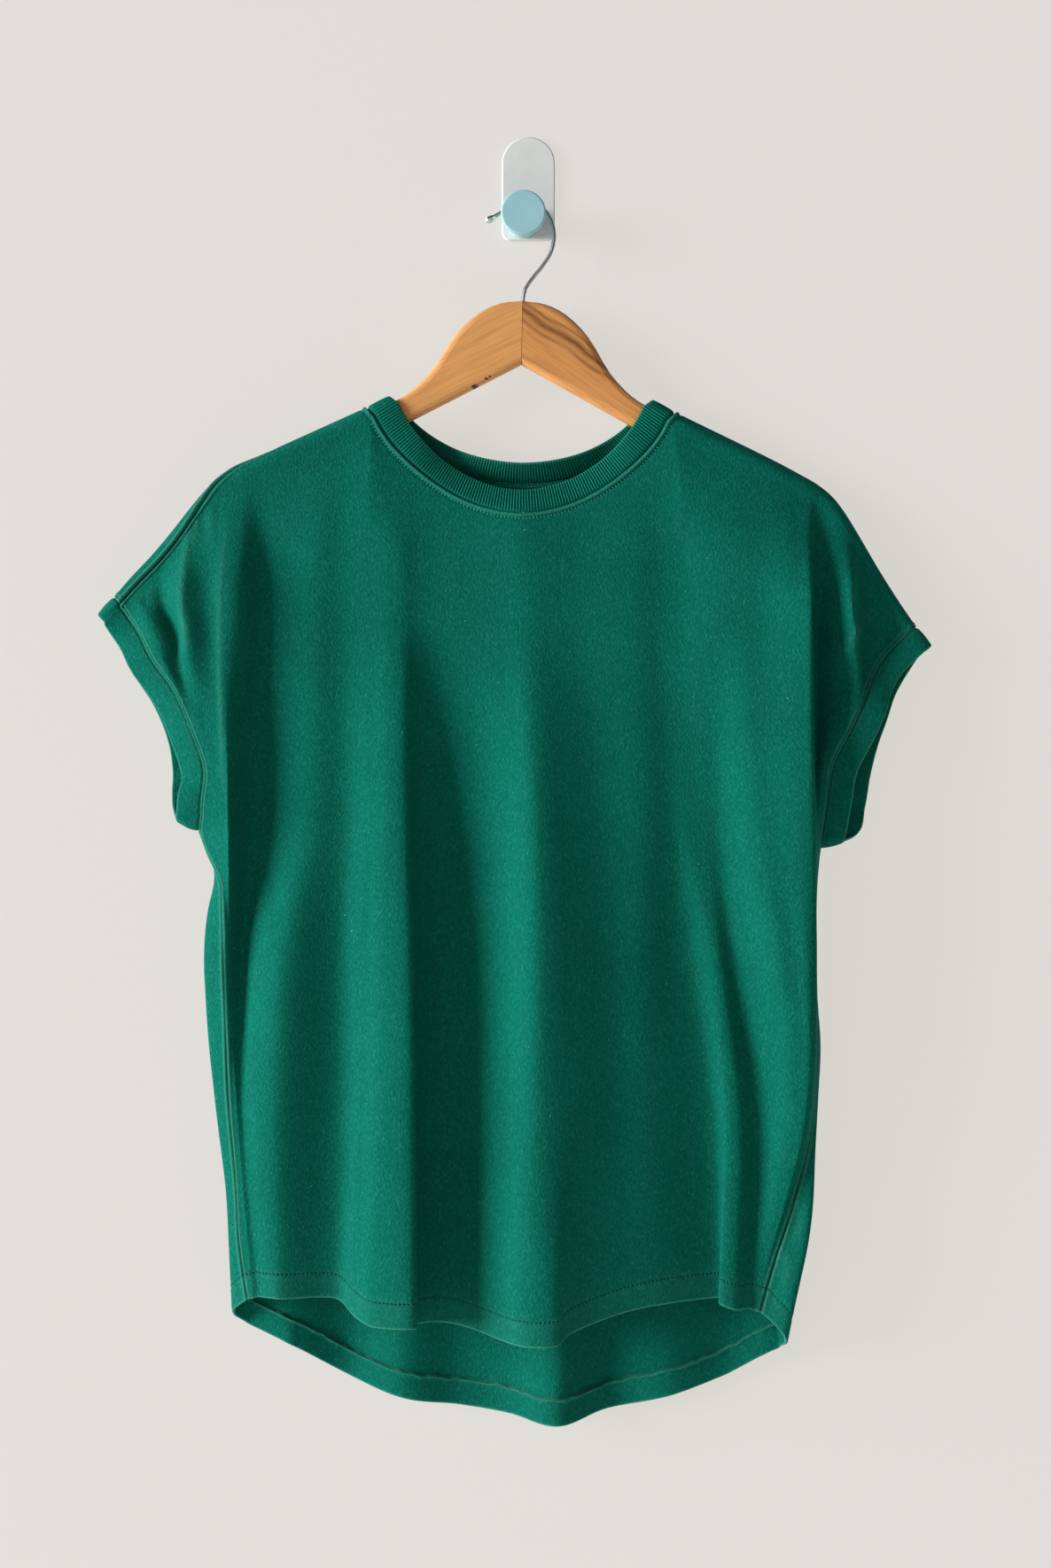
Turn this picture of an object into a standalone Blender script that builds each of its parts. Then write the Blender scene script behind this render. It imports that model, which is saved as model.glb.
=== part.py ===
"""A women's T-shirt on a wooden hanger that hangs from a wall hook.

Lengths are in millimetres, and MM turns them into metres where a mesh is made.
X points right and Z up, as seen from the room, and Y points into the wall.
A depth is a distance out from the wall, so y = -depth. The origin is the
middle of the back of the wall plate.

The cloth is one surface, cut into the maker's pieces at its seams. Fold lines
run down each panel, and a level section through them gives its waves.
"""
import math
from collections import namedtuple

import bmesh
import bpy
import numpy as np

MM = 0.001

# Walls of cloth, and the widths of the sewn bands
PANEL_WALL = 1.4
HEM_WALL = 2.3
BAND_WALL = 2.0
CUFF_WALL = 2.2
SEAM_GAP = 0.32
BAND_CLEARANCE = 0.1
HEM_TURN = 17.5
HEM_STEP = 1.5
NECKBAND_SWELL = 0.5
CUFF_WIDTH = 17.0
CUFF_SWELL = 0.4

# The shoulder line: where the cloth turns over the hanger, then over the sleeves
SHOULDER_LINE = (
    (-292, -293), (-279, -278.5), (-262, -261), (-247, -243), (-234, -225.5), (-223, -212.5),
    (-211, -203.5), (-190, -193.8), (-113, -158.8), (-4, -109), (103, -162.4), (190, -205.8),
    (204, -213.5), (214, -221.5), (222, -232), (231, -247), (244, -269.5), (258, -292), (276, -319),
)
SHOULDER_CENTRE = -4.0
ROLL_RADIUS = 8.5
SLEEVE_ROLL_RADIUS = 6.5
ROLL_DEPTH = 20.0
SLEEVE_FORWARD = 3.0

# Where the shoulder seam lies, as a run over the roll: positive is on the front
SEAM_RUN = {"left": 12.0, "right": -8.0}
SEAM_DRIFT_START = 160.0
SEAM_DRIFT_END = 255.0

# The neckline and the neckband's free edge are flattened ellipses on the rolled-out cloth:
# how far each reaches sideways and, below a straight line, at the middle of front and back
NECK_CENTRE = -5.2
Neck = namedtuple("Neck", "reach front back")
NECKLINE = Neck(108.0, 78.0, 53.5)
NECK_EDGE = Neck(92.2, 70.1, 50.0)
NECK_POWER = {1: 2 / 1.72, -1: 2 / 1.8}
# How far the band's edge leans into the opening, where it is clear of the hanger
NECKBAND_LEAN = {1: 4.5, -1: 11.0}
LEAN_FROM = -188.0
LEAN_DROP = 22.0

# How fast the folds grow below the shoulder line
FOLD_START = 6.0
FOLD_START_SHARE = 0.55
CHEST_GROWTH = 90.0
SLEEVE_GROWTH = 32.0
DRIFT_LENGTH = 60.0

# How the inner side is kept from crossing itself in tight folds
CROWDED = 0.4
WALL_STRETCH = 0.85
SETTLE_ROUNDS = 40

# Heights of the sections through the folds
LEVELS = (-309, -463, -543, -647, -785)
SLEEVE_LEVELS = (-272, -315, -365, -414, -460)
UNDERARM = {"left": -456, "right": -468}

# Rows of the panels: shares of the way down to the underarm, then to the hem
UPPER_ROWS = (0, 0.014, 0.029, 0.046, 0.067, 0.1, 0.155, 0.235, 0.335, 0.455, 0.59, 0.72, 0.83, 0.91,
              0.955, 0.985, 1)
LOWER_ROWS = (0.14, 0.29, 0.44, 0.59, 0.74, 0.88)

# Each fold line: where it starts, its x and depth at each of LEVELS, and the hem's height.
# It starts at an x on the shoulder line, or at an angle round the neckline.
Fold = namedtuple("Fold", "name top chest underarm midriff waist hip hem")

FRONT_LEFT = (
    Fold("edge_left", -221, (-216, 44), (-207, 44), (-205, 36), (-201, 35), (-191, 36), -781),
    Fold("tuck_left", -214, (-211, 35), (-202, 33), (-200, 31), (-197, 36), (-188, 37), -780),
    Fold("valley_left", -194, (-192, 25), (-193, 24), (-196, 28), (-192, 37), (-184, 38), -780),
    Fold("slope_left", -175, (-174, 28), (-182, 31), (-190, 35), (-186, 41), (-180, 40), -780),
    Fold("ridge_0", -153, (-148, 36), (-157, 43), (-170, 45), (-174, 44), (-173, 42), -780),
    Fold("valley_1", -132, (-131, 34), (-129, 37), (-135, 37), (-139, 37), (-138, 36), -781),
)
FRONT_NECK = (
    Fold("slope_1", 0, (-111, 36), (-111, 45), (-113, 46), (-114, 47), (-119, 46), -791),
    Fold("crest_1", 25, (-96, 38), (-96, 52), (-97, 55), (-100, 57), (-103, 58), -796),
    Fold("edge_1", 38, (-86, 37), (-82, 52), (-79, 57), (-77, 60), (-76, 62), -796),
    Fold("tuck_1", 46, (-78, 34), (-77, 40), (-78, 41), (-79, 40), (-80, 42), -798),
    Fold("valley_2", 55, (-67, 32), (-60, 28), (-60, 27), (-60, 27), (-62, 28), -799),
    Fold("rise_2", 67, (-44, 33), (-37, 32), (-35, 32), (-37, 33), (-42, 33), -802),
    Fold("slope_2", 79, (-17, 37), (-13, 46), (-13, 48), (-15, 49), (-21, 50), -806),
    Fold("crest_2", 87, (-4, 40), (2, 56), (3, 60), (2, 62), (-3, 64), -808),
    Fold("edge_2", 95, (7, 40), (13, 55), (18, 60), (20, 64), (22, 66), -807),
    Fold("tuck_2", 102, (17, 38), (22, 49), (23, 52), (23, 48), (23, 46), -804),
    Fold("valley_3", 115, (35, 36), (44, 38), (58, 34), (64, 33), (65, 33), -793),
    Fold("ridge_3", 139, (74, 37), (77, 40), (82, 38), (90, 37), (100, 37), -785),
    Fold("valley_4", 155, (92, 36), (100, 35), (105, 32), (114, 30), (124, 29), -782),
)
FRONT_RIGHT = (
    Fold("ridge_4", 103, (106, 37), (115, 40), (125, 42), (131, 46), (132, 47), -784),
    Fold("valley_5", 121, (121, 37), (130, 35), (144, 33), (150, 35), (137, 42), -786),
    Fold("slope_5", 137, (133, 40), (146, 44), (157, 45), (164, 45), (140, 40), -788),
    Fold("crest_5", 150, (145, 43), (158, 52), (170, 54), (173, 51), (143, 39), -788),
    Fold("dip_5", 166, (161, 42), (170, 50), (180, 52), (179, 49), (145.5, 40), -789),
    Fold("crest_6", 192, (186, 50), (187, 55), (191, 53), (185, 45), (148, 40), -789),
    Fold("edge_right", 205, (196, 48), (196, 50), (197, 44), (190, 41), (151, 39), -790),
)
BACK_LEFT = (
    Fold("back_corner_left", -238, (-243, 12), (-218, 12), (-216, 12), (-210, 12), (-199, 13), -803),
    Fold("back_valley_1", -203, (-186, 13), (-181, 16), (-179, 18), (-176, 18), (-168, 17), -817),
    Fold("back_ridge_1", -158, (-142, 10), (-138, 7), (-137, 6), (-135, 6), (-130, 6), -840),
)
BACK_NECK = (
    Fold("back_valley_2", 0, (-100, 12), (-98, 15), (-95, 16), (-92, 17), (-88, 17), -855),
    Fold("back_ridge_2", 48, (-56, 10), (-54, 8), (-52, 7), (-51, 6), (-49, 7), -862),
    Fold("back_valley_3", 80, (-18, 12), (-16, 12), (-15, 12), (-14, 12), (-12, 12), -867),
    Fold("back_fold", 98, (14, 12), (16, 15), (18, 18), (19, 23), (20, 28), -872),
    Fold("back_ridge_3", 124, (46, 10), (48, 8), (50, 7), (52, 7), (54, 8), -865),
)
BACK_RIGHT = (
    Fold("back_valley_4", 103, (92, 12), (95, 14), (97, 15), (99, 15), (99, 15), -854),
    Fold("back_ridge_4", 155, (138, 10), (140, 7), (141, 6), (141, 6), (140, 7), -841),
    Fold("back_valley_5", 205, (186, 13), (174, 15), (173, 16), (174, 16), (167, 13.5), -825),
    Fold("back_corner_right", 235, (226, 12), (196, 12), (194, 12), (193, 12.5), (182, 15.5), -819),
)

# Folds between a cuff and the fold line that hangs from the hanger's end: their share of
# the way from one line to another, and their rise above a straight run, at SLEEVE_LEVELS
SleeveFold = namedtuple("SleeveFold", "name share rise")

LEFT_SLEEVE = (
    SleeveFold("cuff_ridge_left", (0.20, 0.20, 0.20, 0.22, 0.25), (0, 2.5, 1.5, 0, 0)),
    SleeveFold("cuff_valley_left", (0.40, 0.40, 0.40, 0.44, 0.50), (-1, -5, -2, 0, 0)),
    SleeveFold("sleeve_ridge_left", (0.66, 0.66, 0.66, 0.67, 0.70), (3, 4, 1, 0, 0)),
    SleeveFold("sleeve_dip_left", (0.84, 0.84, 0.84, 0.84, 0.86), (-2, -2.5, -1, 0, 0)),
)
RIGHT_SLEEVE = (
    SleeveFold("tuck_right", (-0.02, -0.03, -0.03, 0.00, 0.10), (-8, -13, -13, -8, 0)),
    SleeveFold("valley_right", (0.11, 0.11, 0.18, 0.22, 0.24), (-15, -21, -20, -12, 0)),
    SleeveFold("slope_right", (0.25, 0.26, 0.42, 0.42, 0.40), (-7, -10, -10, -6, 0)),
    SleeveFold("crest_right", (0.40, 0.41, 0.66, 0.60, 0.56), (3, 4, 3, -2, 0)),
    SleeveFold("tuck_sleeve_right", (0.45, 0.46, 0.78, 0.74, 0.71), (-3, -4, 2, -1, 0)),
    SleeveFold("valley_sleeve_right", (0.57, 0.59, 0.89, 0.87, 0.86), (-6, -6, 1, 0, 0)),
)

# Sections down each side, from the top of the cuff seam to the underarm, then to the hem
CuffSection = namedtuple("CuffSection", "z front_x front_depth back_x back_depth")
SideSection = namedtuple("SideSection", "z x depth")

CUFF_TOP = {"left": -291, "right": 272}
LEFT_CUFF_SEAM = (
    CuffSection(-298, -282, 31, -283, 16),
    CuffSection(-320, -268, 35, -272, 15),
    CuffSection(-335, -262, 37, -265, 14),
    CuffSection(-360, -246, 38, -249, 14),
    CuffSection(-388, -234, 38, -238, 14),
    CuffSection(-413, -226, 38, -234, 14),
    CuffSection(-435, -228, 37, -234, 15),
    CuffSection(-446, -229, 34, -233, 18),
    CuffSection(-453, -230.5, 30, -232, 22),
    CuffSection(-456, -231, 26, -231, 26),
)
LEFT_SIDE_SEAM = (
    SideSection(-456, -231, 26),
    SideSection(-471, -224, 33),
    SideSection(-489, -215, 37),
    SideSection(-512, -213, 38),
    SideSection(-543, -212, 37),
    SideSection(-577, -211, 36),
    SideSection(-643, -209, 33),
    SideSection(-704, -204, 32),
    SideSection(-742, -202, 32),
    SideSection(-782, -196, 33),
)
LEFT_TURN = (
    SideSection(-298, -270, 13),
    SideSection(-335, -252, 12),
    SideSection(-375, -233, 12),
    SideSection(-413, -225, 13),
    SideSection(-456, -226, 18),
    SideSection(-489, -220, 24),
    SideSection(-512, -225, 25),
    SideSection(-577, -226, 25),
    SideSection(-643, -220, 23),
    SideSection(-704, -213, 22),
    SideSection(-794, -208, 22),
)
RIGHT_CUFF_SEAM = (
    CuffSection(-316, 271, 24, 273, 16),
    CuffSection(-333, 252, 27, 261, 14),
    CuffSection(-347, 242, 30, 251, 14),
    CuffSection(-363, 235, 36, 242, 14),
    CuffSection(-384, 225, 38, 233, 14),
    CuffSection(-408, 213, 36, 226, 14),
    CuffSection(-435, 208, 35, 221, 14),
    CuffSection(-455, 205, 32, 216, 16),
    CuffSection(-464, 204, 28.5, 209, 19.5),
    CuffSection(-468, 204, 24, 204, 24),
)
RIGHT_SIDE_SEAM = (
    SideSection(-468, 204, 24),
    SideSection(-489, 202.5, 22),
    SideSection(-544, 202, 21),
    SideSection(-614, 201.5, 28),
    SideSection(-643, 199, 33),
    SideSection(-677, 193, 37),
    SideSection(-712, 184, 39),
    SideSection(-764, 168, 39),
    SideSection(-790, 161, 39),
)
RIGHT_TURN = (
    SideSection(-316, 262, 12),
    SideSection(-347, 240, 12),
    SideSection(-384, 220, 12),
    SideSection(-435, 205, 13),
    SideSection(-466, 203, 17),
    SideSection(-544, 200, 14),
    SideSection(-614, 205, 20),
    SideSection(-643, 203, 24),
    SideSection(-677, 200, 26),
    SideSection(-742, 195, 27),
    SideSection(-767, 190, 27),
    SideSection(-814, 182, 26),
)
SEAM_HEM = {"left": -782, "right": -790}
TURN_TOP = {"left": -262, "right": 256}
TURN_HEM = {"left": -794, "right": -813}

# Widest steps between columns: in x along the shoulders, in degrees round the neckline
SHOULDER_STEP = 12.0
FRONT_NECK_STEP = 8.0
BACK_NECK_STEP = 9.0

# Which way each cuff points, in degrees below level, at shares of the way down its seam
CuffAngle = namedtuple("CuffAngle", "share left right")
CUFF_ANGLES = (
    CuffAngle(0.00, 54, 48),
    CuffAngle(0.15, 36, 54),
    CuffAngle(0.40, 28, 34),
    CuffAngle(0.60, 26, 22),
    CuffAngle(0.80, 6, 12),
    CuffAngle(0.92, -6, 6),
    CuffAngle(1.00, -25, -12),
)
CUFF_SPREAD = 1.5

# Wooden hanger, measured from the middle of its top edge before it is tilted
HANGER_TOP = (SHOULDER_CENTRE, -84.0)
HANGER_TILT = math.radians(1.1)
HANGER_THICKNESS = 11.0
HANGER_EDGE = 4.2
CROWN_TOP = ((0, 0), (16, -2), (31, -9.3), (47, -25), (62, -49), (78, -65.5), (92, -74), (109, -82.5))
CROWN_POINTS = 22
ARM_SLOPE = 0.483
ARM_END = 204.0
ARM_END_RADIUS = 8.0
ARM_HEIGHT = 20.0
NOTCH = ((0, -44.7), (96, -96))
MITRE_GAP = 0.3

# Hook of steel wire
WIRE_DIAMETER = 3.0
WIRE_DEPTH = 20.0
WIRE_BORE = 4.0
WIRE_BORE_DEPTH = 26.0
WIRE_ROUTE = (
    (-4.5, -108), (-4.3, -96), (-3.9, -84), (-2, -75), (2, -69), (10, -59), (16, -49), (18, -36),
    (14.5, -24), (6.7, -16.3), (-3.5, -14.2), (-12, -16.7), (-20, -22.2), (-30, -28),
)
WIRE_POINTS = 40
BULB_LENGTH = 7.0
BULB_SWELL = 0.75

# Wall plate and its peg
PLATE_WIDTH = 37.6
PLATE_HEIGHT = 73.6
PLATE_THICKNESS = 3.0
PLATE_CORNER = 6.0
PLATE_EDGE = 0.8
PEG_PLACE = (-3.5, -25.8)
PEG_SHAFT_DIAMETER = 19.4
PEG_DISC_DIAMETER = 31.4
PEG_SHAFT_END = 34.0
PEG_END = 38.2
PEG_EDGE = 1.2
PEG_SIDES = 32
WIRE_SIDES = 8
FACE_GAP = 0.3


def clear_scene():
    for item in list(bpy.data.objects):
        bpy.data.objects.remove(item, do_unlink=True)


def make_material(name, colour, roughness, metallic=0.0):
    material = bpy.data.materials.new(name)
    material.use_nodes = True
    shader = material.node_tree.nodes["Principled BSDF"]
    shader.inputs["Base Color"].default_value = (*colour, 1.0)
    shader.inputs["Roughness"].default_value = roughness
    shader.inputs["Metallic"].default_value = metallic
    material.diffuse_color = (*colour, 1.0)
    return material


def signed_volume(points, faces):
    total = 0.0
    for face in faces:
        for b, c in zip(face[1:], face[2:]):
            total += points[face[0]] @ np.cross(points[b], points[c])
    return total / 6


def add_mesh(name, points, faces, material, smooth_angle=50):
    """A closed body, turned so that its faces look outward."""
    if signed_volume(points, faces) < 0:
        faces = [face[::-1] for face in faces]
    mesh = bpy.data.meshes.new(name)
    mesh.from_pydata([tuple(point * MM) for point in points], [], faces)
    mesh.validate()
    item = bpy.data.objects.new(name, mesh)
    bpy.context.scene.collection.objects.link(item)
    mesh.materials.append(material)
    mesh.shade_smooth()
    mesh.set_sharp_from_angle(angle=math.radians(smooth_angle))
    return item


# Curves through a few values

def ease(value):
    value = np.clip(value, 0, 1)
    return value * value * (3 - 2 * value)


def mix(start, end, share):
    return start + (end - start) * share


def through(knots, values, at):
    """A smooth curve through values at rising knots, level beyond both ends."""
    knots = np.asarray(knots, float)
    values = np.asarray(values, float)
    slopes = np.gradient(values, knots)
    at = np.clip(at, knots[0], knots[-1])
    k = np.clip(np.searchsorted(knots, at, side="right") - 1, 0, len(knots) - 2)
    step = knots[k + 1] - knots[k]
    t = (at - knots[k]) / step
    return (values[k] * (1 + 2 * t) * (1 - t) ** 2 + values[k + 1] * t * t * (3 - 2 * t)
            + step * (slopes[k] * t * (1 - t) ** 2 - slopes[k + 1] * t * t * (1 - t)))


def down(heights, values, z):
    """The same curve through values at falling heights."""
    return through([-height for height in heights], values, -z)


# The cloth's surface

def side_of(x):
    return "left" if x < SHOULDER_CENTRE else "right"


def shoulder_height(x):
    xs, heights = zip(*SHOULDER_LINE)
    return float(through(xs, heights, x))


def shoulder_angle(x):
    """How steeply the shoulder line falls, less and less toward the middle."""
    angle = math.atan(abs(shoulder_height(x + 1) - shoulder_height(x - 1)) / 2)
    return angle * float(ease(abs(x - SHOULDER_CENTRE) / NECK_EDGE.reach))


def past_hanger(x):
    """0 over the hanger, rising to 1 on the sleeves."""
    return float(ease((abs(x - SHOULDER_CENTRE) - 205) / 50))


def roll_radius(x):
    return mix(ROLL_RADIUS, SLEEVE_ROLL_RADIUS, past_hanger(x))


def roll_depth(x):
    return ROLL_DEPTH + SLEEVE_FORWARD * past_hanger(x)


def over_roll(run, x):
    """Where a column from x on the shoulder line has come to, run past the line.

    The roll is square to the line. Past it the cloth hangs straight down.
    """
    radius = roll_radius(x)
    angle = shoulder_angle(x)
    turned = np.clip(run / radius, -math.pi / 2, math.pi / 2)
    sunk = radius * (1 - np.cos(turned))
    straight = np.maximum(np.abs(run) - radius * math.pi / 2, 0)
    inward = math.copysign(1, SHOULDER_CENTRE - x)
    z = shoulder_height(x) - sunk * math.cos(angle) - straight
    return x + inward * sunk * math.sin(angle), radius * np.sin(turned), z


def run_to(z, x):
    """Run past the shoulder line at which a column reaches height z."""
    radius = roll_radius(x)
    return shoulder_height(x) - z + radius * (math.pi / 2 - math.cos(shoulder_angle(x)))


def seam_run(x):
    """Where the shoulder seam crosses the roll."""
    out = abs(x - SHOULDER_CENTRE)
    share = ease((out - SEAM_DRIFT_START) / (SEAM_DRIFT_END - SEAM_DRIFT_START))
    return SEAM_RUN[side_of(x)] * float(share)


def neckline(angle, neck, facing):
    """X and run of a point round the neck: 0 degrees at the left shoulder, 180 at the right."""
    turn = math.radians(angle)
    power = NECK_POWER[facing]
    across = -math.copysign(abs(math.cos(turn)) ** power, math.cos(turn))
    x = NECK_CENTRE + neck.reach * across
    start = shoulder_height(NECK_CENTRE - neck.reach)
    end = shoulder_height(NECK_CENTRE + neck.reach)
    level = mix(start, end, (across + 1) / 2)
    drop = neck.front if facing > 0 else neck.back
    return x, shoulder_height(x) - level + drop * abs(math.sin(turn)) ** power


def fold_line(fold):
    xs, depths = zip(fold.chest, fold.underarm, fold.midriff, fold.waist, fold.hip)
    return lambda z: (down(LEVELS, xs, z), down(LEVELS, depths, z))


def side_line(sections):
    heights, xs, depths = zip(*sections)
    return lambda z: (down(heights, xs, z), down(heights, depths, z))


def seam_line(cuff, side, facing):
    """A panel's edge: down the cuff's seam to the underarm, then down the side seam."""
    if facing > 0:
        upper = side_line([(row.z, row.front_x, row.front_depth) for row in cuff])
    else:
        upper = side_line([(row.z, row.back_x, row.back_depth) for row in cuff])
    lower = side_line(side)
    underarm = side[0].z

    def line(z):
        above = z > underarm
        return tuple(np.where(above, u, v) for u, v in zip(upper(z), lower(z)))
    return line


def sleeve_line(fold, start, end):
    """A fold between two other lines, by its share of the way across."""
    def line(z):
        share = down(SLEEVE_LEVELS, fold.share, z)
        rise = down(SLEEVE_LEVELS, fold.rise, z)
        start_x, start_depth = start(z)
        end_x, end_depth = end(z)
        return mix(start_x, end_x, share), mix(start_depth, end_depth, share) + rise
    return line


Line = namedtuple("Line", "at top hem")
Column = namedtuple("Column", "place x run")


def front_lines():
    """Fold lines of the front, from its left edge to its right edge."""
    left = seam_line(LEFT_CUFF_SEAM, LEFT_SIDE_SEAM, 1)
    right = seam_line(RIGHT_CUFF_SEAM, RIGHT_SIDE_SEAM, 1)
    left_x = CUFF_TOP["left"]
    right_x = CUFF_TOP["right"]
    left_edge = FRONT_LEFT[0]
    right_edge = FRONT_RIGHT[-1]
    lines = [Line(left, left_x, SEAM_HEM["left"])]
    for fold in LEFT_SLEEVE:
        share = fold.share[0]
        lines.append(Line(sleeve_line(fold, left, fold_line(left_edge)),
                          mix(left_x, left_edge.top, share),
                          mix(SEAM_HEM["left"], left_edge.hem, share)))
    for fold in FRONT_LEFT + FRONT_NECK + FRONT_RIGHT:
        lines.append(Line(fold_line(fold), fold.top, fold.hem))
    for fold in RIGHT_SLEEVE:
        share = max(fold.share[0], 0.04)
        lines.append(Line(sleeve_line(fold, fold_line(right_edge), right),
                          mix(right_edge.top, right_x, share),
                          mix(right_edge.hem, SEAM_HEM["right"], share)))
    lines.append(Line(right, right_x, SEAM_HEM["right"]))
    return lines


def back_lines():
    """Fold lines of the back, in the same order."""
    left = seam_line(LEFT_CUFF_SEAM, LEFT_SIDE_SEAM, -1)
    right = seam_line(RIGHT_CUFF_SEAM, RIGHT_SIDE_SEAM, -1)
    lines = [Line(left, CUFF_TOP["left"], SEAM_HEM["left"]),
             Line(side_line(LEFT_TURN), TURN_TOP["left"], TURN_HEM["left"])]
    for fold in BACK_LEFT + BACK_NECK + BACK_RIGHT:
        lines.append(Line(fold_line(fold), fold.top, fold.hem))
    lines.append(Line(side_line(RIGHT_TURN), TURN_TOP["right"], TURN_HEM["right"]))
    lines.append(Line(right, CUFF_TOP["right"], SEAM_HEM["right"]))
    return lines


def spread(values, widest):
    """Values with more of them spaced evenly inside the wide intervals."""
    result = []
    for start, end in zip(values, values[1:]):
        count = math.ceil(abs(end - start) / widest)
        result += [mix(start, end, n / count) for n in range(count)]
    return result + [values[-1]]


def columns_of(lines, neck, left_tops, right_tops, neck_angles, facing):
    """Columns of a panel: along one shoulder, round the neckline, along the other."""
    tops = [line.top for line in lines]
    columns = []
    for x in left_tops:
        place = np.interp(x, tops[:neck[0]] + [NECK_CENTRE - NECKLINE.reach], range(neck[0] + 1))
        columns.append(Column(float(place), x, facing * seam_run(x)))
    starts = tops[neck[0]:neck[1]] + [180]
    for angle in neck_angles:
        place = neck[0] + np.interp(angle, starts, range(len(starts)))
        x, run = neckline(angle, NECKLINE, facing)
        columns.append(Column(float(place), x, run))
    ends = [NECK_CENTRE + NECKLINE.reach] + tops[neck[1] + 1:]
    for x in right_tops:
        place = neck[1] + np.interp(x, ends, range(len(ends)))
        columns.append(Column(float(place), x, facing * seam_run(x)))
    return columns


def section_point(lines, place, z):
    """X and depth on the smooth section through the fold lines at height z."""
    k = min(int(place), len(lines) - 2)
    t = place - k
    near = [np.stack(lines[i].at(z)) for i in (k, k + 1)]
    before = np.stack(lines[k - 1].at(z)) if k > 0 else 2 * near[0] - near[1]
    after = np.stack(lines[k + 2].at(z)) if k + 2 < len(lines) else 2 * near[1] - near[0]
    points = [before, near[0], near[1], after]
    gaps = [np.sqrt(np.maximum(np.hypot(*(b - a)), 0.01)) for a, b in zip(points, points[1:])]
    leave = gaps[1] * ((points[1] - points[0]) / gaps[0] - (points[2] - points[0]) / (gaps[0] + gaps[1])
                       + (points[2] - points[1]) / gaps[1])
    arrive = gaps[1] * ((points[2] - points[1]) / gaps[1] - (points[3] - points[1]) / (gaps[1] + gaps[2])
                        + (points[3] - points[2]) / gaps[2])
    return (points[1] * (1 + 2 * t) * (1 - t) ** 2 + points[2] * t * t * (3 - 2 * t)
            + leave * t * (1 - t) ** 2 - arrive * t * t * (1 - t))


def hem_height(lines, place):
    return float(through(range(len(lines)), [line.hem for line in lines], place))


def column_runs(column, underarm, hem):
    """Runs of a column's points, close together over the roll and at the turned hem."""
    start, middle, end = column.run, run_to(underarm, column.x), run_to(hem, column.x)
    turn = end - HEM_TURN
    upper = [mix(start, middle, share) for share in UPPER_ROWS]
    lower = [mix(middle, turn - HEM_STEP, share) for share in LOWER_ROWS]
    return np.array(upper + lower + [turn - HEM_STEP, turn, end])


def panel_grid(lines, columns, facing):
    """Points of a panel's outer side: one row per run, one column per column."""
    grid = []
    for column in columns:
        share = column.place / (len(lines) - 1)
        underarm = mix(UNDERARM["left"], UNDERARM["right"], share)
        runs = column_runs(column, underarm, hem_height(lines, column.place))
        plain_x, out, z = over_roll(runs, column.x)
        x, depth = section_point(lines, column.place, z)
        growth = mix(CHEST_GROWTH, SLEEVE_GROWTH, past_hanger(column.x))
        start = FOLD_START + FOLD_START_SHARE * max(column.run, 0)
        grown = ease((runs - start) / growth)
        drifted = ease((runs - column.run) / DRIFT_LENGTH)
        x = x + (plain_x - x[0]) * (1 - drifted)
        plain = roll_depth(column.x) + facing * roll_radius(column.x)
        depth = roll_depth(column.x) + facing * out + (depth - plain) * grown
        grid.append(np.stack([x, -depth, z], axis=1))
    return np.stack(grid, axis=1)


def unit(vectors):
    return vectors / np.maximum(np.linalg.norm(vectors, axis=-1, keepdims=True), 1e-9)


def grid_normals(grid, closed, turn):
    """Outward unit normals, where turn is 1 if rows by columns face outward."""
    if closed:
        across = np.roll(grid, -1, axis=1) - np.roll(grid, 1, axis=1)
    else:
        across = np.gradient(grid, axis=1)
    along = np.gradient(grid, axis=0)
    return turn * unit(np.cross(unit(along), unit(across)))


# Pieces of cloth. Seams holds the grid places that lie on a seam.
Cloth = namedtuple("Cloth", "name grid normals walls seams closed")


def panel_cloth(name, grid, turn):
    rows, columns = grid.shape[:2]
    walls = np.full((rows, columns), PANEL_WALL)
    walls[-2:] = HEM_WALL
    top = [(0, i) for i in range(columns)]
    sides = [(j, i) for j in range(1, rows) for i in (0, columns - 1)]
    return Cloth(name, grid, grid_normals(grid, False, turn), walls, top + sides, False)


def band_cloth(name, seam, edge, swell, wall, turn):
    """A ring of three rows from its seam to its free edge, a little proud in the middle."""
    grid = np.stack([seam, (seam + edge) / 2, edge])
    normals = grid_normals(grid, True, turn)
    grid[1] += normals[1] * swell
    seams = [(0, i) for i in range(len(seam))]
    return Cloth(name, grid, normals, np.full(grid.shape[:2], wall), seams, True)


def neckband_edge(seam, angle, facing):
    """The band's free edge, level with the cloth over the roll and leaning in below it."""
    plain = over_roll(np.array([neckline(angle, NECKLINE, facing)[1]]), seam[0])[1][0]
    x, run = neckline(angle, NECK_EDGE, facing)
    edge_x, out, z = over_roll(np.array([run]), x)
    lean = NECKBAND_LEAN[facing] * float(ease((LEAN_FROM - seam[2]) / LEAN_DROP))
    forward = facing * (out[0] - plain - lean)
    return np.array([edge_x[0], seam[1] - forward, z[0]])


def make_neckband(front, back, spans, angles):
    """Follows the neckline along the front, then along the back."""
    on_front = range(spans[0][0], spans[0][1] + 1)
    on_back = range(spans[1][1] - 1, spans[1][0], -1)
    places = [(front.grid[0, i], angles[0][i - spans[0][0]], 1) for i in on_front]
    places += [(back.grid[0, i], angles[1][i - spans[1][0]], -1) for i in on_back]
    seam = np.array([point for point, angle, facing in places])
    edge = np.array([neckband_edge(*place) for place in places])
    return band_cloth("neckband", seam, edge, NECKBAND_SWELL, BAND_WALL, -1)


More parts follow.
